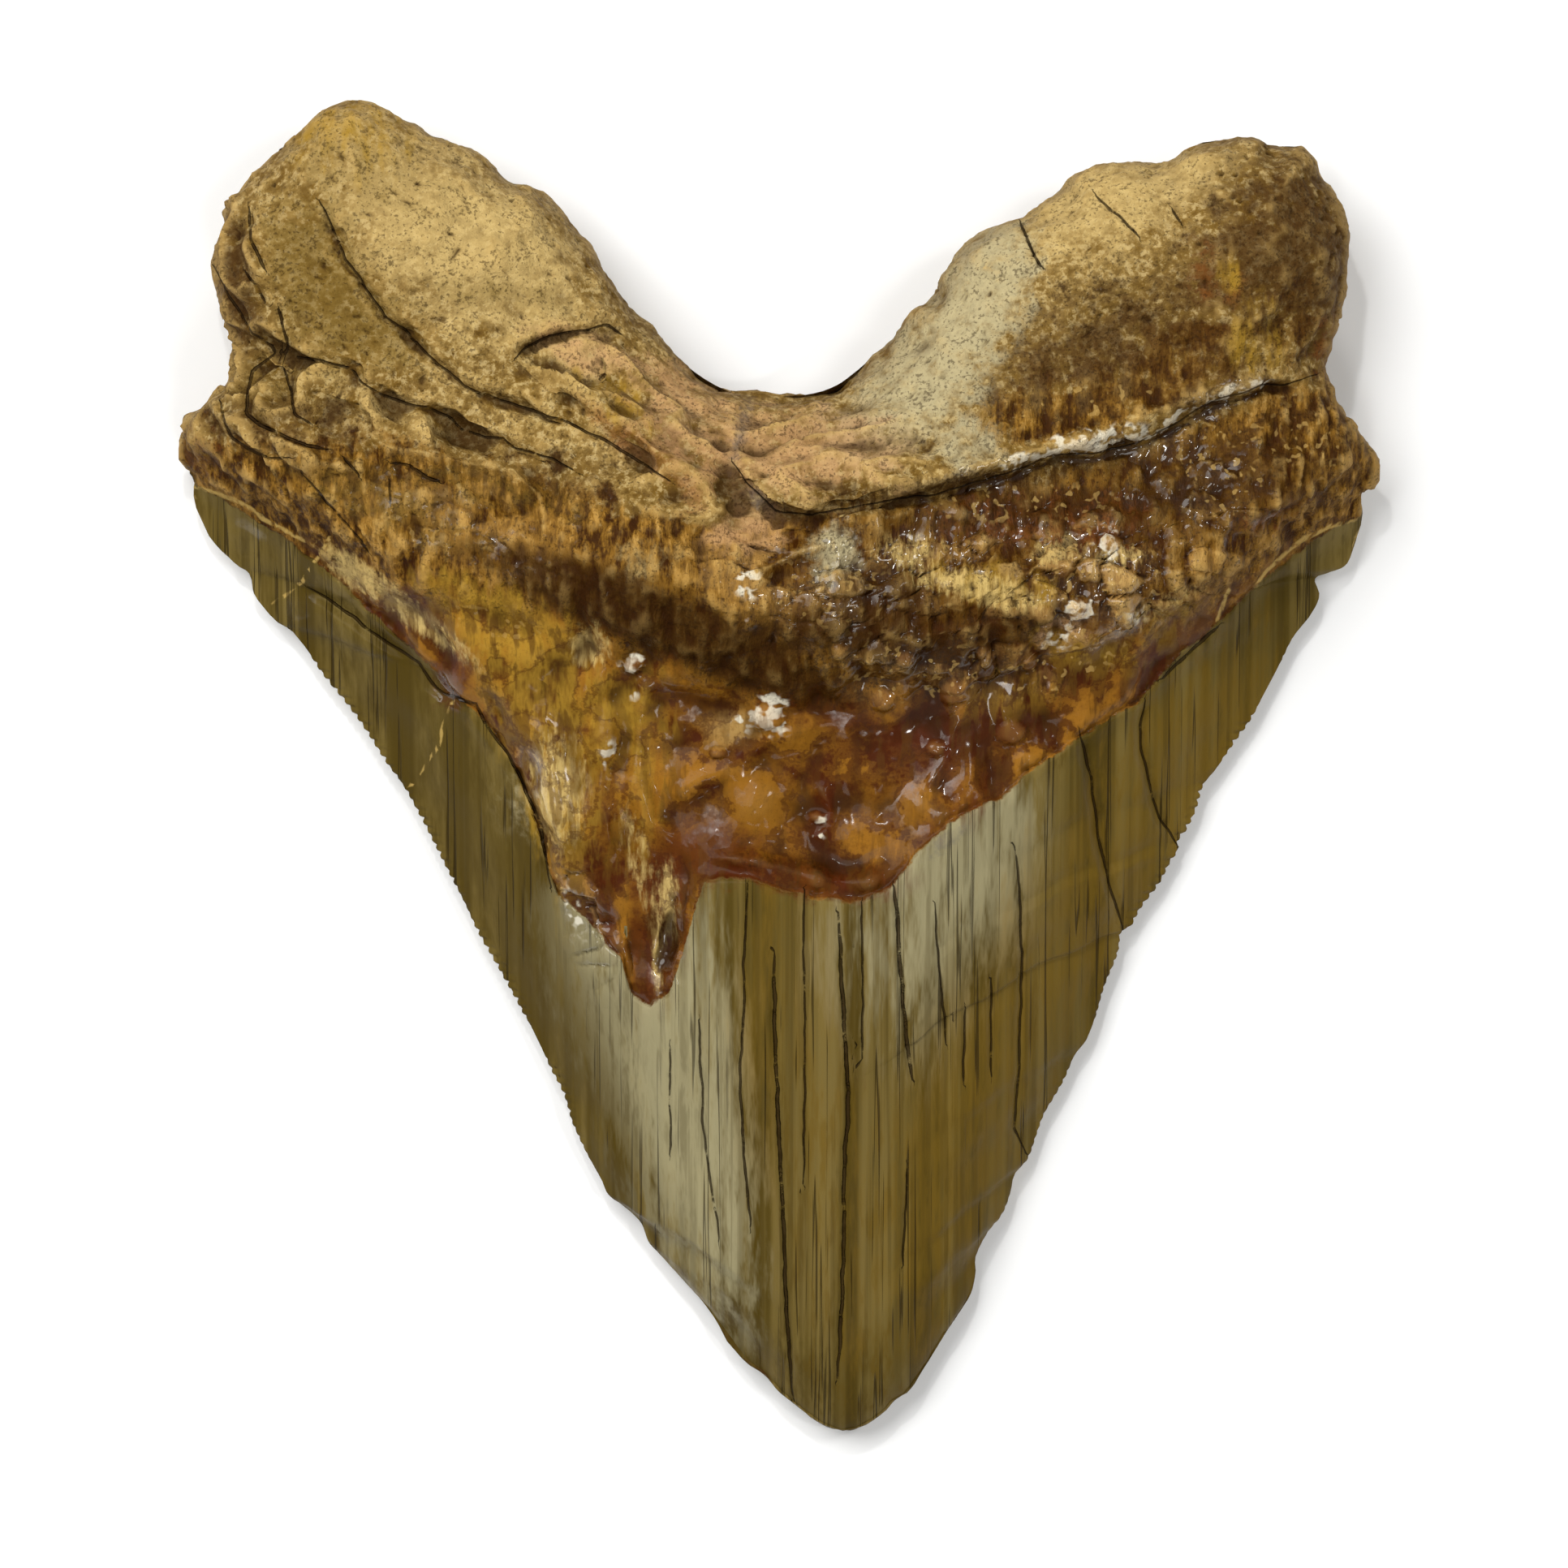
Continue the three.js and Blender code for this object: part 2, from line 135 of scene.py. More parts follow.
# %% Smooth curves through the points
def smooth_line(points, per_span=30):
    """Close points on the smooth curve through a few points."""
    p = np.array(points, float)
    p = np.vstack([2 * p[0] - p[1], p, 2 * p[-1] - p[-2]])
    spans = []
    for a, b, c, d in zip(p, p[1:], p[2:], p[3:]):
        before, here, after = (np.linalg.norm(end - start) ** 0.5 for start, end in ((a, b), (b, c), (c, d)))
        leaving = ((b - a) / before - (c - a) / (before + here) + (c - b) / here) * here
        arriving = ((c - b) / here - (d - b) / (here + after) + (d - c) / after) * here
        t = np.linspace(0, 1, per_span, endpoint=False)[:, None]
        bend = (3 * c - 3 * b - 2 * leaving - arriving) * t**2
        spans.append(b + leaving * t + bend + (2 * b - 2 * c + leaving + arriving) * t**3)
    return np.vstack(spans + [p[-2:-1]])


def walk(line, share):
    """The points that lie at the given shares of a line's length."""
    far = np.concatenate([[0], np.cumsum(np.hypot(*np.diff(line, axis=0).T))])
    return np.stack([np.interp(share * far[-1], far, line[:, k]) for k in (0, 1)], axis=-1)


left, right, root_edge, tip_edge = map(smooth_line, (LEFT_SIDE, RIGHT_SIDE, ROOT_EDGE, TIP_EDGE))
middle_x = (left[:, 0].min() + right[:, 0].max()) / 2
CENTRE = np.array([middle_x, (left[:, 1].max() + tip_edge[:, 1].min()) / 2])
print("middle of the outline in mm:", CENTRE.round(3))

# %% [markdown]
# ## The skin before it has a shape
# The real surface has no seams, so the skin is one closed mesh: two square grids, back to back like a
# pillowcase, that share their border. Each square's place across and along the tooth is all that is needed
# to send its corners to their place later. Many squares are needed, because a crack is a third of a
# millimetre wide.

# %% Two grids with one border
ACROSS, ALONG = ((330, 600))

pillow = bmesh.new()
for height in (1, -1):
    sheet = bmesh.ops.create_grid(pillow, x_segments=ACROSS, y_segments=ALONG, size=0.5)["verts"]
    inner = [v for v in sheet if not v.is_boundary]
    bmesh.ops.translate(pillow, vec=(0, 0, height), verts=inner)
    if height < 0:
        bmesh.ops.reverse_faces(pillow, faces=list({f for v in sheet for f in v.link_faces}))
border = [v for v in pillow.verts if v.is_boundary]
bmesh.ops.remove_doubles(pillow, verts=border, dist=1e-5)
skin = bpy.data.meshes.new("tooth_skin")
pillow.to_mesh(skin)
pillow.free()
print("faces of the skin:", len(skin.polygons))


# %% Reading and moving all points of a mesh at once
def points_of(mesh, what="co"):
    """Places or normals of a mesh's points, as an array."""
    flat = np.empty(3 * len(mesh.vertices), np.float32)
    source = mesh.vertices if what == "co" else mesh.vertex_normals
    source.foreach_get("co" if what == "co" else "vector", flat)
    return flat.reshape(-1, 3).astype(float)


def move_points(mesh, places):
    """Sends every point of a mesh to its new place."""
    mesh.vertices.foreach_set("co", places.astype(np.float32).ravel())
    mesh.update()


# %% [markdown]
# ## From the square to the outline
# A patch that blends four border lines sends the square's points inside the outline. Rows and columns crowd
# towards the border, where the surface turns over.

# %% The patch
square = points_of(skin)
side = np.sign(square[:, 2]).round()  # 1 on the upper face, -1 on the lower one, 0 on the rim
CROWDED_ACROSS, CROWDED_ALONG = 0.5, 0.35


def crowd(t, amount):
    """Moves shares from 0 to 1 towards both ends."""
    return t + amount * ((1 - np.cos(np.pi * t)) / 2 - t)


u = crowd(square[:, 0] + 0.5, CROWDED_ACROSS)
v = crowd(square[:, 1] + 0.5, CROWDED_ALONG)
across, along = u[:, None], v[:, None]
bottom_left, bottom_right, top_left, top_right = left[0], right[0], left[-1], right[-1]
ruled = (1 - across) * walk(left, v) + across * walk(right, v)
ends = (1 - along) * walk(tip_edge, u) + along * walk(root_edge, u)
corners = (1 - along) * ((1 - across) * bottom_left + across * bottom_right)
corners = corners + along * ((1 - across) * top_left + across * top_right)
flat = ruled + ends - corners
x, y = flat.T


# %% How far inside the rim each point lies
def even_line(line, step=0.15):
    """The same line with its points a fixed step apart."""
    length = np.hypot(*np.diff(line, axis=0).T).sum()
    return walk(line, np.linspace(0, 1, int(length / step)))


FAR_AWAY = 1e3
borders = (tip_edge, right, root_edge[::-1], left[::-1])
rim = np.vstack([even_line(line)[:-1] for line in borders])


def rim_distance(x, y):
    """Distance from the rim, and the direction out of it, for many points."""
    tree = KDTree(len(rim))
    for i, (rx, ry) in enumerate(rim):
        tree.insert((rx, ry, 0), i)
    tree.balance()
    nearest = np.array([tree.find((px, py, 0))[1] for px, py in zip(x, y)])
    best = np.full(x.shape, FAR_AWAY)
    away = np.zeros((x.size, 2))
    for step in (-1, 0):
        start = rim[(nearest + step) % len(rim)]
        span = rim[(nearest + step + 1) % len(rim)] - start
        offset = np.stack([x, y], 1) - start
        t = np.clip((offset * span).sum(1) / (span**2).sum(1), 0, 1)
        distance = np.linalg.norm(offset - t[:, None] * span, axis=1)
        out = np.stack([span[:, 1], -span[:, 0]], 1) / np.linalg.norm(span, axis=1)[:, None]
        closer = distance < best
        best[closer] = distance[closer]
        away[closer] = out[closer]
    return best, away


inside, outward = rim_distance(x, y)
inside[side == 0] = 0
print("deepest point inside the rim in mm:", inside.max().round(1))

# %% [markdown]
# ## Rough nature
# Nothing on a fossil is even. Smooth random lumps of any size come from a lattice of random directions,
# and adding finer and finer lattices gives the roughness of bone. The seed is fixed, so that every run makes
# the same tooth.

# %% Lumps of any size
LATTICE = 32
FINER, WEAKER = 0.47, 0.6
random = np.random.default_rng(41)
directions = random.normal(size=(LATTICE, LATTICE, LATTICE, 3))
directions /= np.linalg.norm(directions, axis=-1, keepdims=True)


def lumps(places, size, seed=0, octaves=1):
    """Random heights from about -1 to 1 in lumps of the given size, at many places."""
    total, weight, whole = 0, 1.0, 0.0
    for octave in range(octaves):
        p = np.asarray(places) / size + (3.7 * seed + 9.1 * octave, 5.3 * seed, 7.9 * octave + seed)
        cell = np.floor(p).astype(int)
        f = p - cell
        ease_in = f**3 * (f * (6 * f - 15) + 10)
        value = np.zeros(len(p))
        for corner in np.ndindex(2, 2, 2):
            pull = np.where(corner, ease_in, 1 - ease_in).prod(axis=1)
            i, j, k = ((cell + corner) % LATTICE).T
            value += pull * (directions[i, j, k] * (f - corner)).sum(axis=1)
        total = total + weight * value * 1.6
        whole += weight
        weight *= WEAKER
        size *= FINER
    return total / whole


def on_the_ground(x, y):
    """Places with no height, for lumps that go by the map alone."""
    return np.stack([x, y, 0 * x], 1)



# %% Broken plates and soft steps
def plates(x, y, size, seed):
    """Cracked plates: a random number for the plate that each point is on, and how far the next one is."""
    table = np.random.default_rng(seed).random((64, 64, 3))
    px, py = np.asarray(x) / size, np.asarray(y) / size
    cx, cy = np.floor(px).astype(int), np.floor(py).astype(int)
    first, second, value = np.full(px.shape, 9.0), np.full(px.shape, 9.0), np.zeros(px.shape)
    for i, j in np.ndindex(3, 3):
        gx, gy = cx + i - 1, cy + j - 1
        shift_x, shift_y, number = table[gx % 64, gy % 64].T
        distance = np.hypot(gx + shift_x - px, gy + shift_y - py)
        second = np.where(distance < first, first, np.minimum(second, distance))
        value = np.where(distance < first, number, value)
        first = np.minimum(first, distance)
    return value, (second - first) * size


def ease(value, low, high):
    """0 below low, 1 above high and smooth between."""
    t = np.clip((value - low) / (high - low), 0, 1)
    return t * t * (3 - 2 * t)


# %% [markdown]
# ## Where enamel, gum band and root meet
# The crown's enamel ends in a deep V on this face. Above it lies the band that carried the gum, and above
# that the root swells. Two lines across the tooth say where, and two more do so on the lower face.

# %% The border lines
ENAMEL_TOP = [
    (-53, 26), (-44.1, 20.7), (-39.2, 17.2), (-34.3, 12.6), (-30.1, 8.8), (-28, 6.4), (-25.2, 3.9),
    (-23.1, 0.9), (-21.4, -2.8), (-20, -7.7), (-19, -11), (-16.4, -13.2), (-13.6, -16.4), (-12.6, -19.6),
    (-11, -20.4), (-9.4, -19.6), (-8.2, -16), (-7.2, -12.4), (-6.3, -10), (-5, -9.4), (-2.8, -9.6),
    (2.8, -11.2), (7, -11.6), (9.5, -10.4), (12.6, -6.6), (15.4, -4.4), (18.9, -2.8), (21, -0.8),
    (25.9, 2.5), (30.8, 5.6), (34, 9.2), (37.8, 12.4), (42, 16.4), (46, 19.4), (53, 23),
]
ROOT_FOOT = [
    (-53, 24), (-44, 19.5), (-38, 17), (-28, 14.5), (-17, 12), (-7, 7.5), (0, 5.5), (8, 6.5), (16, 8.5),
    (24, 10.5), (32, 13), (38, 14.5), (44, 18), (53, 21),
]
LEDGE_LINE = [
    (-53, 30), (-46, 27.5), (-40, 27.5), (-33, 28), (-28, 26.5), (-20, 24.5), (-14, 22.5), (-8, 21),
    (-3.9, 20), (0, 21), (7, 21.6), (13.3, 22.6), (19.2, 24.4), (26.6, 26.1), (33.6, 28.7), (37.8, 31),
    (45, 33), (53, 34),
]
COARSE_ENAMEL_TOP = [
    (-53, 26), (-44.1, 20.7), (-39.2, 17.2), (-34.3, 12.6), (-30.1, 8.8), (-23.8, 1.8), (-20.8, -5),
    (-18.5, -11.5), (-14, -13.5), (-7.7, -10.4), (-2.8, -9.6), (2.8, -11.2), (7, -11.6), (10.5, -9.6),
    (12.6, -6), (16.8, -2.5), (25.9, 2.5), (30.8, 5.6), (37.8, 11.6), (42, 15.8), (49.8, 21), (53, 23),
]
LOWER_ENAMEL_TOP = [(-53, 25), (-38, 21), (-20, 15.5), (0, 13), (20, 15), (38, 19), (53, 23)]


# %% Where a point lies on the map of lines
def above(line, x, y):
    """How far a point lies above a line across the tooth, measured along +Y."""
    return y - np.interp(x, *np.array(line).T)


def near_line(line, x, y, reach):
    """Distance to a line, the same below 0 on its left, and the share of the way along it."""
    line = np.array(line, float)
    steps = np.hypot(*np.diff(line, axis=0).T)
    far = np.concatenate([[0], np.cumsum(steps)])
    distance = np.full(x.shape, FAR_AWAY)
    signed, share = distance.copy(), np.zeros(x.shape)
    low, high = line.min(0) - reach, line.max(0) + reach
    near = np.flatnonzero((x > low[0]) & (x < high[0]) & (y > low[1]) & (y < high[1]))
    px, py = x[near], y[near]
    for (ax, ay), (bx, by), start, length in zip(line, line[1:], far, steps):
        dx, dy = (bx - ax) / length, (by - ay) / length
        t = np.clip((px - ax) * dx + (py - ay) * dy, 0, length)
        gap = np.hypot(px - ax - t * dx, py - ay - t * dy)
        closer = gap < distance[near]
        chosen = near[closer]
        distance[chosen] = gap[closer]
        signed[chosen] = np.where((py - ay) * dx - (px - ax) * dy > 0, -gap, gap)[closer]
        share[chosen] = ((start + t) / far[-1])[closer]
    return distance, signed, share


def taper(share, end=0.1):
    """1 along a line, fading to 0 at its two ends."""
    return ease(share, 0, end) * ease(1 - share, 0, end)


def ragged_edge(x, y):
    """Shifts that keep the borders from being ruled."""
    return 0.5 * lumps(on_the_ground(x, y), 2.2, 5, 3)


# %% [markdown]
# ## The main shape
# The heights are the CAD model's: a crown that is domed across and rises from the tip, a thick root whose
# rim rounds over, and a lower face that is flat where the tooth lies.

# %% Heights of the two faces, in millimetres
CUTTING_EDGE_HEIGHT = 2.3
ROOT_RIM_HEIGHT = 7.2
LOBE_HEIGHT = 15.5
ROOT_BULGE = [(0, 18, 27, 12, 8)]
CROWN_ROUNDING, TIP_ROUNDING, ROOT_ROUNDING, LOWER_ROUNDING = 15, 6, 11, 9
CROWN_RIDGE = [(-57.4, 4.6), (-50, 7.6), (-40, 10.4), (-25, 14), (-10, 17), (10, 19.4), (60, 20)]
LUMPS = [
    (-30, 43, 11, 10, 1.6), (-43, 29, 6, 5, 0.9), (-21, 20, 9, 4, -0.7), (-9, 15, 8, 6, 0.8),
    (8, 27, 8, 4, 0.7), (22, 40, 9, 8, 1.3), (39, 41, 8, 9, 0.8), (38, 24, 9, 5, -0.8),
    (-15, -4, 4, 6, 0.8), (-2, -3, 6, 4, 0.9), (9, -2, 5, 5, 0.8), (14, 16, 9, 4, -0.9),
    (25, 12, 6, 4, 0.7), (-30, 5, 5, 8, -0.4), (-17, 32.5, 4.5, 3, 1), (-9.5, 28, 4.5, 3, 1),
    (-43.5, 31, 4, 4, 0.8), (-23, 40, 8, 2.5, -0.6), (-39, 42, 4, 7, -0.7), (30, 36, 8, 3.5, -0.7),
    (14, 34, 4, 6, 0.7),
]
LOWER_LUMPS = [
    (0, 26, 17, 9, 3), (-22, 18, 8, 7, 1.2), (24, 17, 8, 6, 1.1), (-44, 26, 6, 8, 1.8), (45, 25, 6, 8, 1.8),
    (-42, 52, 9, 6, 2), (42, 50, 9, 6, 2), (5, -52, 14, 12, 1.5),
]


# %% The two faces
def bumps(table, x, y):
    """Sum of rounded swellings, each given by its middle, its half sizes and its height."""
    return sum(h * np.exp(-(((x - cx) / rx) ** 2) - ((y - cy) / ry) ** 2) for cx, cy, rx, ry, h in table)


def round_over(distance, radius):
    """A quarter circle: 0 at the rim and 1 from the radius on."""
    return np.sqrt(1 - (1 - np.minimum(distance / radius, 1)) ** 2)


def blend(a, b, share):
    """From a to b as the share goes from 0 to 1."""
    return a + (b - a) * share


root_share = ease(above(COARSE_ENAMEL_TOP, x, y), -2, 9)
rim_height = blend(CUTTING_EDGE_HEIGHT, ROOT_RIM_HEIGHT, root_share)
dome = (1 - np.abs(2 * u - 1) ** 2.1) ** 1.15
from_tip = near_line(tip_edge[::12], x, y, 12)[0]
crown = (np.interp(y, *np.array(CROWN_RIDGE).T) - rim_height) * dome
crown *= round_over(from_tip, TIP_ROUNDING)
root = (LOBE_HEIGHT + bumps(ROOT_BULGE, x, y) - rim_height) * round_over(inside, ROOT_ROUNDING)
upper = rim_height + blend(crown, root, root_share) + bumps(LUMPS, x, y) * ease(inside, 0, 3.5)

crown_round = 1 - (1 - np.minimum(inside / CROWN_ROUNDING, 1)) ** 2
lower_round = blend(crown_round, round_over(inside, LOWER_ROUNDING), root_share)
lower_step = 0.5 * ease(above(LOWER_ENAMEL_TOP, x, y), -0.3, 0.5)
lower = np.maximum(0, rim_height * (1 - lower_round) + bumps(LOWER_LUMPS, x, y) + lower_step - 0.5)
print("highest point before the relief in mm:", upper[side > 0].max().round(1))

# %% [markdown]
# ## Ledges, splits and cracks
# A slab of the root has lifted along a long bright ledge on the right, and the left lobe has split. On the
# crown, dozens of hair cracks follow the fibres from the gum band to the tip. Each one is a line with a
# width and a depth in millimetres, and some have ground that is lower on the right of the line.

# %% Ledges and splits
# name: line, half width, depth, drop on the right of the line, how far the drop reaches
LEDGES = {
    "right ledge": ([
        (-3.9, 25.9), (-2.8, 24.2), (-1.4, 22.8), (0, 21.6), (2.8, 21.4), (7, 22.1), (10.5, 22.8),
        (13.3, 23.1), (15.4, 23.8), (19.2, 24.9), (21.7, 25.9), (23.8, 26.6), (26.6, 26.6), (30.8, 27.7),
        (33.6, 29.2), (36.4, 30.8), (37.8, 31.5), (39.9, 32), (41.3, 32.6), (43.4, 32.7), (46, 33.6),
    ], 0.5, 0.5, 2, 10),
    "lobe split": ([
        (-39.2, 48.3), (-37.8, 45.2), (-37.1, 43.2), (-35.7, 41.7), (-34.7, 40), (-33.5, 38.3),
        (-31.9, 37.3), (-30.5, 35.7), (-29.1, 34.3), (-27.9, 33.4), (-26.8, 32.4), (-25.2, 31.9),
        (-23.8, 31.2), (-21.7, 30.6), (-19.6, 29.8), (-18.1, 29.4), (-16.1, 28.4), (-14, 27.3),
        (-11.9, 25.9), (-9.1, 24.2),
    ], 0.42, 0.8, 0.8, 7),
    "left ledge": ([
        (-48.6, 43.1), (-47.3, 40.6), (-46.1, 38.9), (-45.2, 37.1), (-43.1, 35.9), (-41.3, 35),
        (-38.9, 34.7), (-36.4, 33.8), (-35.7, 32.9), (-34.3, 31.9), (-32.2, 31.2), (-30.1, 30.6),
        (-28, 29.8), (-27.3, 28.9), (-25.2, 28.1), (-23.5, 28), (-22.4, 27.1), (-19.3, 26.3), (-16.8, 24.9),
    ], 0.42, 0.7, 1, 7),
    "left seam": ([
        (-41, 15.6), (-39.2, 14.7), (-37.1, 13.2), (-35, 11.6), (-32.9, 10.2), (-30.8, 8.8), (-29.8, 7.2),
        (-28.7, 6.2), (-25.9, 5.3), (-25.2, 3.9), (-24.4, 2.6), (-23.1, 0.9), (-22.1, -1.1), (-21.4, -2.8),
        (-20.5, -4.9), (-20, -7.7), (-19.5, -10.3),
    ], 0.5, 0.9, 0, 1),
    "lobe crease": ([
        (-22.4, 34.9), (-21.7, 35.7), (-19.6, 36.8), (-16.5, 37.3), (-14.6, 37.8), (-13.3, 36.9),
    ], 0.4, 0.6, 1, 5),
    "right slab": ([
        (25.7, 3.1), (26.1, 1.5), (26.7, -0.4), (27.1, -3.2), (27.6, -6.6), (28.4, -10), (29.8, -14.2),
    ], 0.4, 0.7, -0.35, 3),
    "outer right slab": ([
        (31.5, 5.6), (31, 3.4), (31.3, 0.9), (32, -1.6), (32.8, -4.4), (34.4, -6.8),
    ], 0.4, 0.7, -0.3, 3),
}
NUTRIENT_GROOVE = [(-4.2, 32.6), (-3.9, 30.7), (-3.5, 27.9), (-2.6, 24.7), (-1.2, 22.8)]

# %% Hair cracks
# line, half width, depth
CRACKS = [
    ([(-45.4, 47.8), (-45.3, 46.2), (-45, 44.8), (-43.9, 42.5)], 0.22, 0.5),
    ([(-45.7, 42.4), (-44.5, 41), (-43.9, 39.6)], 0.2, 0.4),
    ([(-42.7, 39.2), (-42.4, 37.5), (-41.9, 35.9)], 0.2, 0.4),
    ([(-43.1, 35.4), (-45, 34), (-45.5, 32.2), (-45.5, 30.1), (-44.1, 29.1), (-42.7, 28.4), (-40.3, 27.4),
      (-38.5, 27.1)], 0.28, 0.6),
    ([(-42.4, 34), (-41.6, 31.9), (-41.3, 30.1), (-39.8, 29.1)], 0.18, 0.4),
    ([(-47.8, 31.2), (-47.5, 29.4), (-46.8, 28.2), (-45.2, 27), (-43.4, 26.3), (-41.7, 26.3)], 0.22, 0.5),
    ([(-37.1, 26.3), (-35.7, 24.7)], 0.15, 0.3),
    ([(-32.9, 25.9), (-31.5, 25.6), (-30.1, 24.7), (-28.9, 24.3)], 0.22, 0.45),
    ([(-33.1, 24.3), (-33.1, 22.6)], 0.15, 0.3),
    ([(-40.6, 24.9), (-38.5, 22.4), (-36.8, 20.7), (-35, 18.2)], 0.14, 0.3),
    ([(20.7, 46.7), (21.3, 45.2), (22, 43.4), (22.5, 42.7)], 0.18, 0.4),
    ([(27.1, 49), (28, 48), (29.4, 46.6), (30.8, 45.2)], 0.16, 0.35),
    ([(33.6, 47.6), (34.4, 46.4)], 0.14, 0.25),
    ([(32.9, 7.5), (35.7, 10.2), (37.8, 12.1)], 0.2, 0.5),
    ([(-2.7, -10.3), (-3.3, -28.1), (-2.9, -33.9), (-2.4, -39.6)], 0.13, 0.3),
    ([(-0.4, -15.6), (-0.2, -25.3), (0.1, -32.4), (0.4, -38.9), (0.7, -46.7), (1.2, -54.6)], 0.22, 0.5),
    ([(2.1, -10.6), (2.3, -25.3), (2.1, -36)], 0.1, 0.25),
    ([(5.1, -12.4), (5.6, -21.7), (6, -28.1), (5.6, -36), (5.6, -41.4), (5.4, -46), (5.1, -52.9)],
     0.24, 0.5),
    ([(7.1, -11.7), (7.2, -25.3)], 0.1, 0.25),
    ([(9.9, -10.3), (10.5, -18.1), (11, -23.9), (11.5, -27.1)], 0.24, 0.5),
    ([(11, -34.2), (10.7, -43.1)], 0.1, 0.25),
    ([(13.3, -12), (14.4, -23.9)], 0.1, 0.2),
    ([(16, -20.7), (15.9, -27.4)], 0.1, 0.2),
    ([(18.2, -18.1), (18.3, -26.7)], 0.1, 0.2),
    ([(20.2, -6.5), (20.6, -11.4), (20.9, -15.8), (20.8, -20.9), (20.6, -27.3), (20.3, -31.2),
      (21.4, -33.5)], 0.13, 0.3),
    ([(-6.8, -21.4), (-6.5, -30.5), (-5.8, -36.1), (-5.1, -41)], 0.11, 0.25),
    ([(-9.3, -23.9), (-9.3, -33.5)], 0.09, 0.2),
]

# %% Lips of the ledges, folds and blisters of the lacquer
# line, height, half width
RIDGES = [
    ([(-10.9, 8), (-11.9, 3.2), (-12.3, -1), (-11.2, -4.6), (-8.4, -6.7)], 0.6, 0.8),
    ([(-9.1, -2.8), (-6.3, -1), (-3.5, 0), (-0.7, 2.1), (1.4, 2.8)], 0.5, 0.7),
    ([(-6.3, -7.4), (0, -8.6), (3.5, -9.3), (9.1, -10.1)], 0.7, 0.7),
    ([(14.3, 6), (15.4, 3.9), (14.3, 1), (12.6, -2.1)], 0.5, 0.6),
    ([(14, 15.4), (16.5, 16.5), (20, 16.9), (22.4, 16.5)], 0.6, 0.9),
    ([(-20.5, 6), (-19.5, 1), (-19, -5), (-17.8, -9.5)], 0.5, 0.8),
    ([(-15.5, 9.5), (-14.6, 4), (-15.2, -2), (-14, -8)], 0.4, 0.7),
    ([(2.8, 22.6), (7, 23.4), (13.3, 24.5), (19.2, 26.2), (26.6, 28.1), (33.6, 30.8), (37.8, 33)],
     0.6, 0.8),
    ([(8, 12), (12, 10.6), (16.5, 11.5), (21, 13.5), (26, 14.5)], 0.5, 0.8),
    ([(-36.5, 31.5), (-32, 29.4), (-28, 27.5), (-23, 25.6)], 0.4, 0.8),
    ([(3.5, -1.5), (4.6, -4), (3.4, -6.4)], 0.5, 0.5),
    ([(-21.5, 33.4), (-17.5, 31.6), (-13.5, 29.6), (-9.5, 26.4), (-7, 24.4)], 0.7, 0.9),
    ([(-17.5, 35.4), (-13.3, 33), (-10, 30.2), (-7.4, 27.2)], 0.6, 0.8),
    ([(-44.4, 28.3), (-41.5, 26.6), (-38.5, 25.6), (-35, 25)], 0.5, 0.8),
    ([(-41.5, 33.5), (-37, 31.4), (-33, 29.2), (-29.5, 27.6)], 0.5, 0.9),
    ([(-8.8, -10.5), (-9.5, -14.4), (-10.2, -17.2), (-9.8, -20.3)], -0.5, 0.5),
    ([(-7.4, -10.5), (-8.2, -15.1), (-8.6, -18.9)], -0.4, 0.4),
    ([(13.4, 13.6), (17, 14.4), (20.5, 15.6), (24, 17)], 0.8, 1.1),
]
# middle and radius
BLISTERS = [
    (8.8, 5.7, 1.1), (14.9, 6.3, 1.3), (19.9, 2.9, 1.2), (10.8, 9.1, 0.9), (-0.9, 4.2, 1.5),
    (22.4, 13, 1.1), (25.7, 13.4, 1.2), (28.3, 19, 1), (13.4, 1.6, 0.8), (24.4, 16.8, 0.9),
    (-12.3, 8.7, 0.9), (17.6, 9.6, 0.8), (5.2, 9.8, 0.8), (21.5, 8.6, 0.7), (-5.2, 1.2, 0.7),
    (3.2, -4.4, 0.6),
]


def wobble(x, y):
    """Shifts of the places where lines are looked up, so that a crack isn't ruled."""
    here = on_the_ground(x, y)
    return x + 0.22 * lumps(here, 2.6, 1, 2), y + 0.22 * lumps(here, 2.6, 2, 2)


# %% The relief of ledges
GROOVE_LIP, GROOVE_DEPTH = 0.5, 0.8

upper_face = ease(side, -0.5, 0.5)
fade = ease(inside, 0, 2.5)
wx, wy = wobble(x, y)
relief = np.zeros(x.size)
for line, half, deep, drop, reach in LEDGES.values():
    distance, signed, share = near_line(line, wx, wy, reach + 1)
    ends = taper(share, 0.08)
    relief -= deep * (1 - ease(distance, 0, 2 * half)) * ends
    relief -= drop * ease(signed, -0.35, 0.55) * (1 - ease(distance, 0.25 * reach, reach)) * ends
for line, height, half in RIDGES:
    distance, signed, share = near_line(line, wx, wy, 4 * half)
    relief += height * np.exp(-((distance / half) ** 2)) * taper(share)
distance, signed, share = near_line(NUTRIENT_GROOVE, wx, wy, 4)
relief += GROOVE_LIP * np.exp(-((distance / 0.8) ** 2))
relief -= GROOVE_DEPTH * np.exp(-(((signed - 1.6) / 0.9) ** 2) - (distance / 3) ** 4)
print("deepest ledge in mm:", relief.min().round(2))

# %% [markdown]
# ## The gum band
# The band is sunk between the enamel, which ends in a low step, and the swelling of the root. Its lacquer is
# thick and lumpy.

# %% The relief of the band
STEP_DOWN, BAND_SAG = 0.7, 1.1

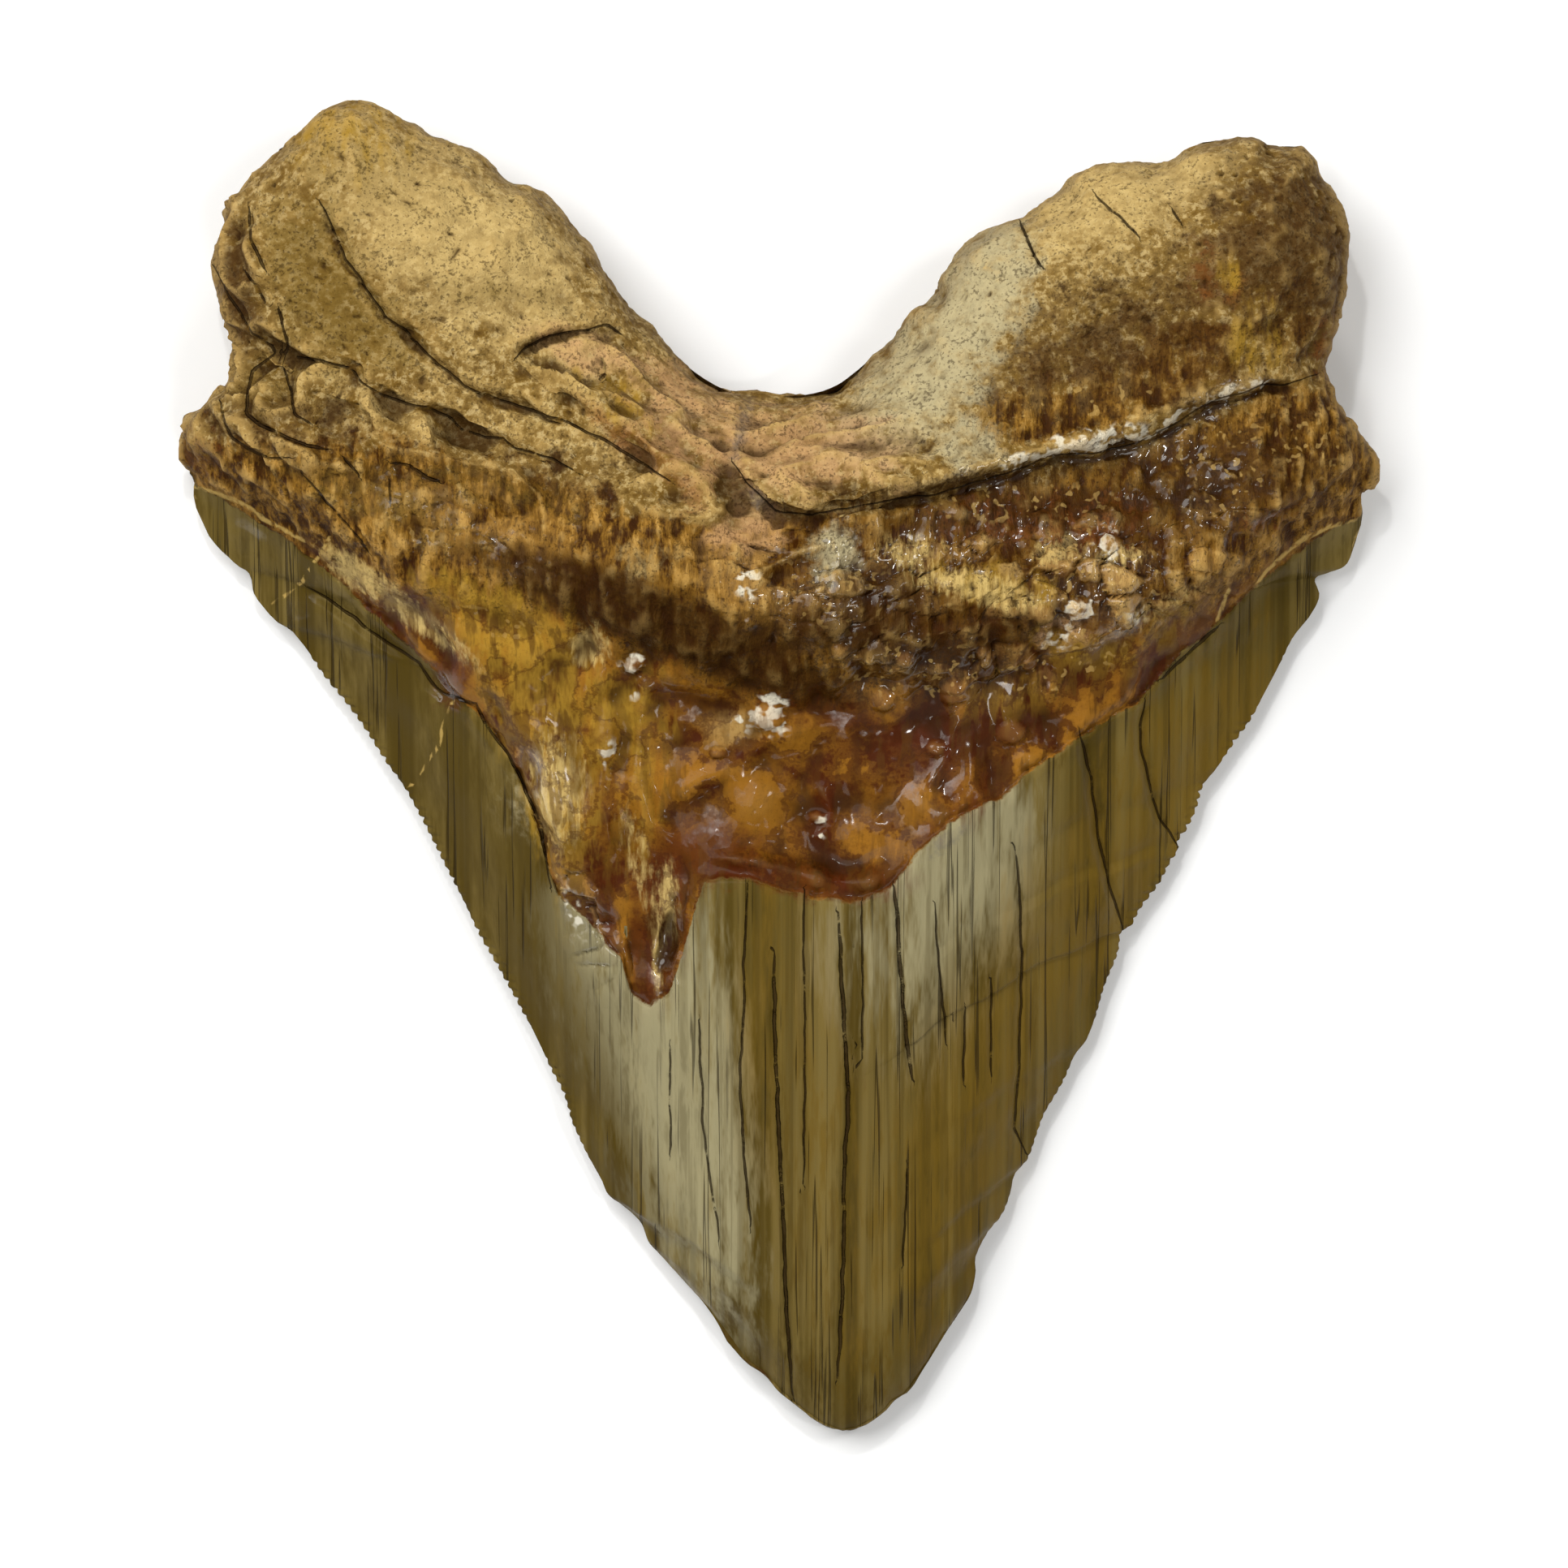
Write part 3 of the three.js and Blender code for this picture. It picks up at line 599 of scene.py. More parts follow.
over_enamel = above(ENAMEL_TOP, x, y) + ragged_edge(x, y)
under_root = -above(ROOT_FOOT, x, y) + ragged_edge(x, y)
band = ease(over_enamel, 0, 1.2) * ease(under_root, -3, 2)
relief -= STEP_DOWN * ease(over_enamel, -0.35, 0.35) * ease(under_root, -4, 2)
relief -= BAND_SAG * ease(over_enamel, 0, 4) * ease(under_root, -3, 2)

z = np.where(side > 0, upper + relief * fade, np.where(side < 0, lower, rim_height))
move_points(skin, np.stack([x - CENTRE[0], y - CENTRE[1], z], 1) * MM)
print("highest point in mm:", z.max().round(1))

# %% [markdown]
# ## The saw edge
# The cutting edges carry about a dozen small saw teeth in a centimetre. They are sharp high up on both sides
# and worn away towards the tip, where larger chips are missing. Points close to the rim move outwards by a
# wave that runs along the edge.

# %% Saw teeth
SAW_PITCH = 0.84
SAW_DEPTH = 0.34
LEFT_SLANT, RIGHT_SLANT = 1.13, 1.15

along_edge = y * np.where(x < 0, LEFT_SLANT, RIGHT_SLANT)
wave = np.abs(np.sin(np.pi * along_edge / SAW_PITCH)) ** 0.7 - 0.5
# real wear of the saw teeth: 1 where they are left, 0 where wear has taken them away
wear_and_ridge_highlight = ease(lumps(on_the_ground(x, y), 6, 8), -0.45, 0.1)
on_left = (x < 0) * ease(y, -38, -24) * (1 - ease(y, 8, 12))
on_right = (x > 0) * blend(0.35, 1, ease(y, -22, -8)) * ease(y, -46, -36) * (1 - ease(y, 6, 12))
saw = SAW_DEPTH * wave * (on_left + on_right) * wear_and_ridge_highlight * (1 - ease(inside, 0, 1))
places = points_of(skin) / MM
places[:, :2] += outward * saw[:, None]
print("saw teeth reach out in mm:", saw.max().round(2))

# %% [markdown]
# ## Pores, fibres and lumps
# The finest relief goes straight out of the surface, so that the steep flanks of the root get it as well:
# pitted bone on the root, folds where the left lobe was bent, flakes on the root's foot, ripples in the
# lacquer, and faint flutes along the enamel. A table of soft spots says where the folds and the chips lie.

# %% Soft spots
# middle, half sizes in millimetres, turn in degrees, strength
FOLDED = [
    (-14, 30.5, 8, 4, -38, 1), (-42, 30, 6, 5, 0, 0.9), (-30, 27, 10, 3, -22, 0.7),
    (-6, 23, 5, 3, -20, 0.8), (41, 37, 5, 4, 0, 0.35), (-46.5, 42, 2.5, 8, 5, 0.7),
    (4, 26.5, 9, 4, 0, 0.85), (-1, 19, 5, 3, 0, 0.6),
]
CHIPPED = [
    (4, 17, 9, 4, -5, 0.8), (24, 16, 11, 5, 8, 1), (-26, 21, 11, 3.5, -18, 0.35), (38, 24, 6, 4, 0, 0.4),
    (-16.6, -13.6, 1.5, 4.5, 18, 0.8), (14, 10, 7, 3, 0, 0.7),
]
THICK_LACQUER = [
    (19, 25.4, 5, 0.9, 12, 0.8), (28.5, 27.2, 5, 1, 6, 1), (37.5, 31.2, 3.5, 1, 25, 0.8),
    (27, 15.5, 4.5, 4.5, 0, 0.8), (13, 6.5, 8, 3.5, 0, 0.75), (-16, -13.5, 1.7, 4, 18, 1),
    (-19.5, 0, 2.2, 4, 0, 0.6), (-3, -4, 8, 5, 0, 0.28), (-46.2, 19.6, 1.4, 1.2, 0, 0.8),
    (-41.3, 13.7, 1.2, 1, 0, 0.8), (-28, 20.5, 11, 4, -18, 0.35), (36, 23, 6, 5, 0, 0.5),
    (-10, 5, 4, 4, 0, 0.4), (13, -2, 4, 3, 30, 0.5), (-9.5, -15, 1.6, 5, -5, 0.6), (4, 15, 8, 4, 0, 0.5),
    (15, 20, 8, 3, 8, 0.5), (-28.3, 6.6, 1.2, 1.6, -30, 0.7),
]
FIBROUS = [(25, 30.5, 9, 3, 10, 0.75), (35.5, 35.5, 5, 3.5, 25, 0.6), (44.5, 38, 3, 5, 0, 0.5)]

# how fast a spot fades at its edge: a high number makes a clear edge
SOFT_EDGE, CLEAR_EDGE = 0.9, 1.4


# %% What the spots, flakes, folds and ripples do at each point
def turned(x, y, turn):
    """Places on axes that are turned by some degrees."""
    cos, sin = np.cos(np.radians(turn)), np.sin(np.radians(turn))
    return cos * x + sin * y, cos * y - sin * x


def soaked(soft_spots, x, y, edge=CLEAR_EDGE):
    """How much of the spots' stuff each point carries, from 0 to 1."""
    left_clean = np.ones(x.size)
    for cx, cy, rx, ry, turn, strength in soft_spots:
        a, b = turned(x - cx, y - cy, turn)
        left_clean *= 1 - strength * np.exp(-0.5 * ((a / rx) ** 2 + (b / ry) ** 2) ** edge)
    return 1 - left_clean


def below_ledge(x, y):
    """The share of the foot's rough ground, which starts softly but for the part under the notch."""
    softness = blend(5, 1, ease(x, -14, -4) * (1 - ease(x, 4, 18)))
    return np.maximum(1 - ease(above(LEDGE_LINE, x, y) / softness, -1, 1), soaked(FIBROUS, x, y))


def flakes_at(places):
    """The grain of the root's foot: short upright flakes."""
    return lumps(places * (1, 0.3, 0.45), 1.1, 14, 2)


def folds_at(places, turn):
    """Long soft folds that lie at an angle, given in degrees."""
    along_fold, over_fold = turned(places[:, 0], places[:, 1], turn)
    squeezed = np.stack([0.45 * along_fold, 1.05 * over_fold, places[:, 2]], 1)
    return 0.3 - 1.5 * np.abs(lumps(squeezed, 3.6, 22, 1))


def ripples_at(places):
    """The slow ripples of the lacquer."""
    return lumps(places * (1, 0.8, 1), 3.4, 15, 1)


def blisters(x, y):
    """Small domes, from 0 at the foot to 1 on top."""
    domes = np.zeros(x.size)
    for bx, by, radius in BLISTERS:
        far = np.hypot(x - bx, (y - by) * 1.15) / radius
        domes = np.maximum(domes, np.sqrt(np.clip(1 - far**2, 0, 1)))
    return domes


def chips_at(x, y, places):
    """The broken plates: the number of each point's plate and how far the next plate is."""
    return plates(x + 0.8 * lumps(places, 1.6, 3, 2), 1.5 * y, 3.2, 5)


# %% The fine relief, along the surface's own directions
# heights and depths in millimetres
LUMP_HEIGHT, KNOB_HEIGHT, FOLD_HEIGHT, FLAKE_HEIGHT, RIPPLE_HEIGHT = 0.7, 0.45, 2.5, 0.4, 0.8
CHIP_HEIGHT, BLISTER_HEIGHT, FLUTE_HEIGHT, WAVE_HEIGHT, DRIP_HEIGHT = 1.1, 0.7, 0.07, 0.05, 0.22
PORE_DEPTH, CHIP_SEAM_DEPTH = 0.3, 0.4
CRACK_SHARE = 0.8

move_points(skin, places * MM)
normals = points_of(skin, "normal")
over = np.where(side < 0, above(LOWER_ENAMEL_TOP, x, y), over_enamel)
on_root = ease(over, 0, 1.5) * (1 - band * upper_face)
on_band = band * upper_face
on_enamel = 1 - ease(over, -0.4, 0.3)
foot = below_ledge(x, y) * on_root * upper_face
calm = ease(lumps(places, 7, 21, 2), -0.25, 0.3)

chip_value, chip_gap = chips_at(wx, wy, places)
chips = CHIP_HEIGHT * (chip_value - 0.4) * ease(chip_gap, 0, 0.7)
chips -= CHIP_SEAM_DEPTH * (1 - ease(chip_gap, 0, 0.4))
bone = LUMP_HEIGHT * lumps(places, 7, 11, 2) + KNOB_HEIGHT * lumps(places, 2.4, 12, 3)
folds = blend(folds_at(places, -38), folds_at(places, 5), ease(x, -8, 0))
folds *= FOLD_HEIGHT * soaked(FOLDED, x, y) * upper_face
pores = -PORE_DEPTH * ease(lumps(places, 0.9, 13, 2), 0.25, 0.5)
flakes = FLAKE_HEIGHT * (ease(flakes_at(places), -0.3, 0.3) - 0.5)
lacquer = RIPPLE_HEIGHT * ripples_at(places) + DRIP_HEIGHT * (1.1 - calm) * lumps(places, 1.8, 16, 1)
flutes = FLUTE_HEIGHT * lumps(places * (1, 0.04, 0.3), 1.1, 17, 2) + WAVE_HEIGHT * lumps(places, 6, 18, 1)

fine = on_root * (bone + folds + pores * (1 - foot)) + foot * (flakes + 0.3 * lacquer)
fine += on_band * (lacquer + 0.25 * flakes) + on_enamel * flutes
fine += soaked(CHIPPED, x, y) * upper_face * (on_root + on_band + 0.6 * on_enamel) * chips
fine += BLISTER_HEIGHT * upper_face * blisters(wx, wy)
for line, half, deep in CRACKS:
    distance, signed, share = near_line(line, wx, wy, 1.5)
    sunk = deep * taper(share, 0.12) * (1 - ease(distance, 0, half + 0.2))
    fine -= CRACK_SHARE * upper_face * sunk
fine *= blend(1, 0.5, (side == 0) * on_enamel)
places += normals * fine[:, None]
print("finest relief from and to, in mm:", fine.min().round(2), fine.max().round(2))

# %% Staying inside the CAD model's size
# above the soft top, heights are squeezed into the soft range
SOFT_TOP, SOFT_RANGE = 22.6, 0.7

over_top = np.maximum(places[:, 2] - SOFT_TOP, 0)
places[:, 2] = np.maximum(places[:, 2] - over_top + SOFT_RANGE * np.tanh(over_top / SOFT_RANGE), 0)
half_size = np.array([(cad_box[1][k] - cad_box[0][k]) / 2 / MM for k in (0, 1)])
places[:, :2] = np.clip(places[:, :2], -half_size, half_size)
move_points(skin, places * MM)
print("height in mm:", places[:, 2].max().round(2))

# %% [markdown]
# ## One tooth from the skin
# The even squares are many more than the flat places need. Decimate takes points away where the surface is
# plain and leaves them at the cracks.

# %% The tooth
MOST_TRIANGLES = 192000
SHARP_ANGLE = 65

tooth = add_object("fossil_tooth", skin)
thin = tooth.modifiers.new("fewer points", "DECIMATE")
thin.ratio = min(1, MOST_TRIANGLES / (2 * len(skin.polygons)))
thinned = bpy.data.meshes.new_from_object(tooth.evaluated_get(bpy.context.evaluated_depsgraph_get()))
tooth.modifiers.clear()
tooth.data = thinned
thinned.name = "fossil_tooth"
thinned.shade_smooth()
thinned.set_sharp_from_angle(angle=np.radians(SHARP_ANGLE))
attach(tooth, "root")
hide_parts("tooth")
print("triangles:", sum(len(face.vertices) - 2 for face in thinned.polygons))

# %% [markdown]
# ## Masks for the paint
# The paint has to know where it is. Each point gets a few numbers: how far it lies above the enamel's edge
# and the root's foot, how near the closest crack runs, how deep the hollow is that it lies in, and how much
# of each stain it carries. Distances are better than plain masks, because a sharp edge can be drawn from
# them between two points.

# %% Numbers on the points
spots = points_of(thinned) / MM
normals = points_of(thinned, "normal")
sx, sy = spots[:, 0] + CENTRE[0], spots[:, 1] + CENTRE[1]
swx, swy = wobble(sx, sy)
facing_up = ease(normals[:, 2], -0.25, 0.1)


def keep(name, values):
    """Stores one number for each point."""
    thinned.attributes.new(name, "FLOAT", "POINT").data.foreach_set("value", values.astype(np.float32))


enamel_top = above(ENAMEL_TOP, sx, sy) + ragged_edge(sx, sy)
chip_value, chip_gap = chips_at(swx, swy, spots)
NUMBERS = {
    "over_enamel": np.where(facing_up > 0.5, enamel_top, above(LOWER_ENAMEL_TOP, sx, sy)),
    "over_foot": above(ROOT_FOOT, sx, sy),
    "below_ledge": below_ledge(sx, sy) * facing_up,
    "facing_up": facing_up,
    "shine": soaked(THICK_LACQUER, sx, sy) * facing_up,
    "flake": flakes_at(spots),
    "ripple": ripples_at(spots),
    "blister": blisters(swx, swy) * facing_up,
    "chip": chip_value,
    "chip_gap": chip_gap,
    "chipped": soaked(CHIPPED, sx, sy) * facing_up,
}
for name, values in NUMBERS.items():
    keep(name, values)
print("numbers on each point:", len(NUMBERS))

# %% [markdown]
# ## Cracks and stripes
# Thin pale stripes, where the enamel's edge shows through, need only a distance. For the dark lines, each
# point learns on which side of the nearest crack or ledge it lies, and how wide that one is.

# %% Pale stripes
STRIPES = [
    [(-50.4, 24.2), (-48, 23.4), (-46.2, 22.6), (-43.4, 20.8), (-40.8, 19.4)],
    [(50.4, 21.4), (47.6, 20.7), (44.8, 19.3), (43.4, 18.2), (42, 16.8), (40.9, 15.4)],
    [(38.6, 15.1), (38.1, 13.8), (37.6, 12.6)],
    [(-44.1, 13.7), (-42.7, 14.7), (-41, 15.9), (-39.6, 17.9), (-38.4, 19.6)],
    [(-28, 5.6), (-28.9, 3.2), (-29.4, 1.4), (-30.8, -0.4), (-31.9, -1.8)],
]

# %% Distances to the lines
# the share of a line's half width that is painted
ROOT_CRACK, CROWN_CRACK, LOW_LEDGE, HIGH_LEDGE = 0.45, 0.6, 0.2, 0.1
ROOT_STARTS, HIGH_DROP = 20, 2
DARK_LINES = []
for line, half, _ in CRACKS:
    DARK_LINES.append((line, half * (ROOT_CRACK if line[0][1] > ROOT_STARTS else CROWN_CRACK)))
for line, half, _, drop, _ in LEDGES.values():
    DARK_LINES.append((line, half * (LOW_LEDGE if drop < HIGH_DROP else HIGH_LEDGE)))

gap = np.full(sx.size, 9.0)
beside = gap.copy()
width = np.zeros(sx.size)
for line, half in DARK_LINES:
    distance, signed, share = near_line(line, swx, swy, 2.5)
    closer = distance < gap
    gap[closer] = distance[closer]
    beside[closer] = signed[closer]
    width[closer] = (half * (0.35 + 0.65 * taper(share)))[closer]
keep("crack_gap", gap)
keep("crack_side", beside)
keep("crack_width", width)
stripe_gap = np.min([near_line(line, swx, swy, 2)[0] for line in STRIPES], axis=0)
keep("stripe_gap", np.minimum(stripe_gap, 5))
print("dark lines:", len(DARK_LINES), "and pale stripes:", len(STRIPES))

# %% [markdown]
# ## Hollows
# The paint darkens hollows as painted shade, and lightens ridges as a painted highlight that also stands for
# wear. A hollow is a place that lies deeper than the mean of the points round it. The narrow ones come from
# the nearest neighbours and the wide ones from a copy of the surface that has been smoothed many times.

# %% How deep each point lies
HOLLOW_REACH = 2.2

ends_of_edges = np.empty(2 * len(thinned.edges), np.int32)
thinned.edges.foreach_get("vertices", ends_of_edges)
one, other = ends_of_edges.reshape(-1, 2).T
links = np.bincount(one, minlength=sx.size) + np.bincount(other, minlength=sx.size)


def of_neighbours(from_one, from_other):
    """The mean, at each point, of values that its edges bring."""
    return (np.bincount(one, from_one, sx.size) + np.bincount(other, from_other, sx.size)) / links


def smoothed(values):
    """Halfway to the mean of the neighbours."""
    return 0.5 * values + 0.5 * of_neighbours(values[other], values[one])


step = spots[other] - spots[one]
spread = (step**2).sum(1)
rises = of_neighbours((step * normals[one]).sum(1), -(step * normals[other]).sum(1))
keep("hollow", smoothed(smoothed(rises / of_neighbours(spread, spread))))

rounds = int(2 * HOLLOW_REACH**2 / spread.mean())
calm_surface = spots.copy()
for _ in range(rounds):
    calm_surface = np.stack([smoothed(calm_surface[:, k]) for k in range(3)], 1)
depth = ((calm_surface - spots) * normals).sum(1)
keep("dip", depth)
steep = normals[:, 2]
for _ in range(rounds // 3):
    steep = smoothed(steep)
keep("steep", 1 - steep)
print("rounds:", rounds, "depth in mm:", np.percentile(depth, [1, 10, 50, 90, 99]).round(2))

# %% [markdown]
# ## Stains
# Most colours of the fossil come from what has soaked into it, but four stains are painted light: the dark
# shadow where the band sinks under the root's foot and below the right ledge is painted shade, the pale
# silvery grey-green on the enamel is a painted sheen, and the pale glints along the ledge's lip and on the
# blisters and the small cream sparkles on the lacquer are painted highlights. Each stain is a handful of
# soft spots. The shader will break up their edges. The painted glints lie only on what stands out.

# %% Where each stain lies
STAINS = {
    "pale_tan": [
        (-28, 45.9, 12.6, 6.3, -35, 0.8), (-22.4, 43.1, 4.2, 2.8, -40, 0.7), (-28, 45, 5, 4, -30, 0.3),
        (-16.8, 34.9, 3, 1.6, -30, 0.55), (25.9, 47.6, 7.7, 3.9, 10, 0.8), (33.6, 51.1, 5.6, 2, 5, 0.7),
        (-11.2, 17.2, 2.8, 2.1, 0, 0.4), (-33, 30.5, 6, 1.2, -25, 0.5), (22, 31.5, 1, 1.6, 0, 0.5),
        (26, 32.4, 0.8, 2, 0, 0.5), (29.6, 33, 0.8, 1.8, 0, 0.5), (-4.2, 3.2, 2.4, 1.5, 0, 0.7),
    ],
    "umber": [
        (44.1, 45.5, 6.5, 6.5, -20, 1), (47.5, 38, 2.5, 5, 0, 0.8), (27.3, 34.5, 10, 4.5, 12, 0.75),
        (36.4, 32.6, 4.2, 1.8, 10, 0.6), (19.6, 21.4, 8.4, 2, 0, 0.5), (-46.2, 40.3, 1.5, 4.9, 15, 0.7),
        (-28, 24.9, 4.2, 1.8, -15, 0.2), (44.8, 27, 4.2, 4.2, 0, 0.5), (-43.4, 29.1, 3.5, 2.5, 0, 0.5),
        (-49.7, 28, 1.8, 1.8, 0, 0.5), (38, 39.5, 5, 4, 30, 0.45), (31, 41, 7, 3, 0, 0.2),
        (-46.6, 42, 1.6, 7, 4, 0.7), (-30.5, 52.6, 4, 1, -22, 0.3), (-11.5, 29.9, 2.4, 0.8, -30, 0.7),
        (-8.7, 27.6, 1.8, 0.7, -40, 0.7), (-18.2, 24.4, 5, 2, -15, 0.45), (37.8, 24.2, 3.5, 2.5, 0, 0.6),
        (38, 27, 8, 3, 12, 0.5), (-41, 29.5, 6, 1.5, -10, 0.4), (-30, 25.5, 8, 1.5, -18, 0.2),
    ],
    "cream": [
        (16.8, 39.6, 3.5, 6.3, -30, 0.9), (11.9, 33.2, 4.2, 4.2, 35, 0.8), (7, 28.4, 3.5, 2.8, 0, 0.5),
        (17.8, 45.2, 2.1, 2.8, 0, 0.7), (16.1, 27, 2.8, 2.1, 0, 0.6), (4.9, 17.9, 2.1, 2.1, 0, 0.7),
        (-21, -2.8, 2.8, 2.8, 0, 0.4),
    ],
    "rust": [
        (37.8, 40.7, 2.5, 3.2, 0, 0.25), (47.6, 36.1, 1.8, 2.5, 0, 0.6), (21.7, 21.4, 7.7, 1.7, 4, 0.7),
        (-49.7, 27, 1.8, 2, 0, 0.4), (-7, 24.9, 2.8, 2.8, 0, 0.5), (36, 42.5, 1.2, 2.5, 10, 0.3),
        (26.6, 20.7, 4.2, 2.1, 0, 0.6), (42, 21.4, 3.5, 1.4, 20, 0.4), (-12, 27.4, 5, 1, -36, 0.7),
    ],
    "ochre": [
        (40.9, 36.2, 2, 2.2, 0, 0.6), (38.4, 42, 1, 1.4, 20, 0.4), (41.5, 39.5, 1.2, 0.8, 0, 0.5),
        (-23.8, 11.6, 3.9, 2.5, -15, 0.8), (-18.2, -1.1, 2.8, 7.7, 0, 0.8), (-22.4, 6.7, 3.5, 4.2, 0, 0.7),
        (-11.9, -0.4, 2.1, 7.7, 0, 0.6), (26.6, 9.8, 4.2, 1.5, -10, 0.7), (18.2, 15.4, 4.9, 1.5, -8, 0.6),
        (-28, 15.1, 3.5, 1.4, -20, 0.6), (-18.9, 10.2, 2.1, 2.8, 0, 0.6), (-14, 31.5, 4, 1.6, -38, 0.5),
        (33, 11.5, 3, 1.2, 40, 0.5), (20.3, 6.2, 4.5, 2, 10, 0.55), (-14, 4.5, 3.4, 3.2, 0, 0.85),
        (-37.5, 54, 5, 3, -20, 0.6),
    ],
    "amber": [
        (-2.1, -4.6, 4.2, 3.9, 0, 0.9), (9.1, -3.9, 3.2, 2.8, 0, 0.8), (-7.7, 4.6, 4.2, 3.5, 0, 0.7),
        (3.5, 3.2, 3.2, 2.8, 0, 0.6), (-14.7, -1.1, 2.5, 6.3, 0, 0.6), (0, -1.1, 2.8, 2.8, 0, 0.6),
        (-11.2, -6, 2.8, 3.5, 0, 0.6), (7, 5.3, 2.8, 2.1, 0, 0.4),
    ],
    "mahogany": [
        (-6.3, -7, 4.2, 2.2, 0, 0.8), (3.5, -7, 3.5, 2.8, 0, 0.3), (13.3, 1.1, 3.9, 3.9, 0, 0.5),
        (7, -9.8, 4.9, 1.4, 5, 0.9), (1.5, -9.2, 7.5, 1.1, -6, 0.85), (-9.5, -10.9, 2, 3.5, -10, 0.8),
        (-11.2, -17.2, 1.6, 3.5, -5, 0.8), (16.1, -3.9, 3.5, 1.8, 40, 0.7), (-18.2, 2.8, 2.8, 1.1, 0, 0.5),
        (23.1, 4.2, 4.2, 1.6, 25, 0.3), (-28, 7.4, 1.4, 2.1, -20, 0.9), (4, 4.5, 5, 1.2, -12, 0.7),
        (-10, 6.5, 4, 1, -20, 0.5), (31, 8.2, 3, 1, 40, 0.6), (3.8, -3.6, 0.9, 2.4, -14, 0.8),
        (-14.6, -13.4, 0.7, 4.5, 8, 0.8), (-12.2, -14.6, 0.5, 4, 4, 0.8), (-9.4, -14.5, 0.45, 4.5, 4, 0.9),
        (-8, -13.5, 0.3, 4, 4, 0.8),
    ],
    # painted shade: dark brown where the band sinks under the root's foot and below the right ledge
    "shadow": [
        (-18.2, 15.4, 4.2, 1.8, -10, 0.9), (-11.2, 13, 4.9, 2.1, -18, 1), (-4.2, 9.5, 4.2, 2, -15, 1),
        (2.1, 6.7, 4.2, 1.5, -8, 0.8), (-23.8, 17.9, 4.2, 1.4, -10, 0.6), (8.4, 14, 4.9, 2.8, 0, 0.8),
        (13.3, 9.1, 4.9, 2.1, 0, 0.8), (20.3, 12.3, 4.2, 1.7, 0, 0.6), (16.8, 24.2, 12.6, 1, 8, 0.7),
        (32.2, 20, 9.8, 1.3, 6, 0.3), (20.3, 7.4, 4.2, 1.7, 0, 0.5), (23.5, 22, 11, 1.6, 6, 0.8),
        (38.5, 24.5, 6.5, 3, 8, 0.5), (-8, 11, 9, 1.6, -16, 0.8), (2.5, -8.5, 6, 0.9, -3, 0.5),
        (4, 11, 6, 1.6, -5, 0.7), (-15, 15, 3.4, 1.6, -10, 0.6),
    ],
    "yellow_cream": [
        (-32.2, 13.7, 6.3, 0.8, -38, 0.8), (-16.1, 10.2, 1.4, 1.4, 0, 0.8), (16.1, 15.6, 4.2, 1, -8, 0.7),
        (19.6, 14, 2.8, 0.7, -10, 0.6), (-18.9, -2, 2, 4, 0, 0.75), (29.4, 17.9, 2.1, 0.8, 0, 0.5),
        (-11.9, -8.1, 1, 4.2, 15, 0.45), (-36.4, 16.5, 2.8, 1, -35, 0.7), (-9.4, -12, 0.7, 3, 0, 0.7),
        (-10.4, -16.5, 0.35, 2.6, 3, 0.9), (24, 18.6, 2, 1, 20, 0.6), (11, 18.5, 3, 1, 0, 0.5),
        (33, 13.8, 4, 0.8, 25, 0.4),
    ],
    # painted highlights: pale glints along the right ledge's lip, on the blisters and on a few chips
    "chalk": [
        (-0.9, 4.3, 1.3, 1.2, 0, 1), (-2.4, 3.8, 1, 0.7, 0, 0.9), (-12.3, 8.75, 0.8, 0.8, 0, 1),
        (-12.8, 7, 0.5, 1, 15, 0.8), (-17.4, -12.5, 0.5, 1.6, 20, 0.6), (-2.5, 15.5, 0.9, 1, 0, 0.5),
        (25.6, 13.2, 1.2, 0.8, 30, 0.7), (23.6, 10.6, 0.8, 1.2, -20, 0.6), (28, 19, 0.8, 1.2, 0, 0.6),
        (30.6, 13, 0.7, 0.7, 0, 0.5), (20.3, 25.9, 0.9, 0.45, 15, 0.9), (22.9, 26.9, 1, 0.5, 20, 0.85),
        (25.6, 27.5, 1.6, 0.7, 0, 0.9), (28.9, 27.8, 2.3, 0.9, 5, 1), (33.9, 29.8, 1.7, 0.35, 30, 0.8),
        (37.6, 31.6, 1.5, 0.35, 25, 0.8), (40.8, 32.5, 1.1, 0.3, 15, 0.7), (-14.4, 1, 0.6, 0.9, 0, 0.6),
        (3.5, -5.6, 0.3, 1.4, -15, 0.7),
    ],
    # painted highlights: small cream sparkles on the lacquered foot and band
    "frost": [
        (27, 15.5, 4.5, 4, 0, 1), (24, 8.5, 4, 2, 20, 0.7), (12, 8, 6, 2.5, 0, 0.6),
        (20, 22.5, 8, 1.5, 5, 0.6), (38, 26, 4, 5, 0, 0.6), (-30, 20, 8, 2, -20, 0.4),
        (-19.5, -8, 1.5, 4, 15, 0.7), (4, 15, 6, 3, 0, 0.5), (46, 28, 3, 4, 0, 0.5),
        (25.5, 31, 7, 1.5, 10, 0.6), (-24, 12, 5, 2, -20, 0.4),
    ],
    # painted sheen: pale silvery grey-green where the enamel catches the light
    "grey_green": [
        (-9, -30, 3.4, 11, 14, 0.9), (-5.5, -35, 2, 11, 6, 0.5), (-6.5, -20, 2.5, 7, 5, 0.4),
        (-14.7, -15.1, 3.5, 4.2, 20, 0.7), (15.4, -9.5, 4.2, 4.9, 30, 0.9),
        (-16.5, -11.6, 2.8, 1.7, 0, 0.3), (19.6, -4.6, 2.8, 2.8, 30, 0.6), (11.9, -17.5, 3.4, 7.5, 0, 0.5),
        (4, -16, 2.2, 6, 0, 0.3), (-14, -24.9, 2.1, 7, 27, 0.5),
    ],
    "deep_olive": [
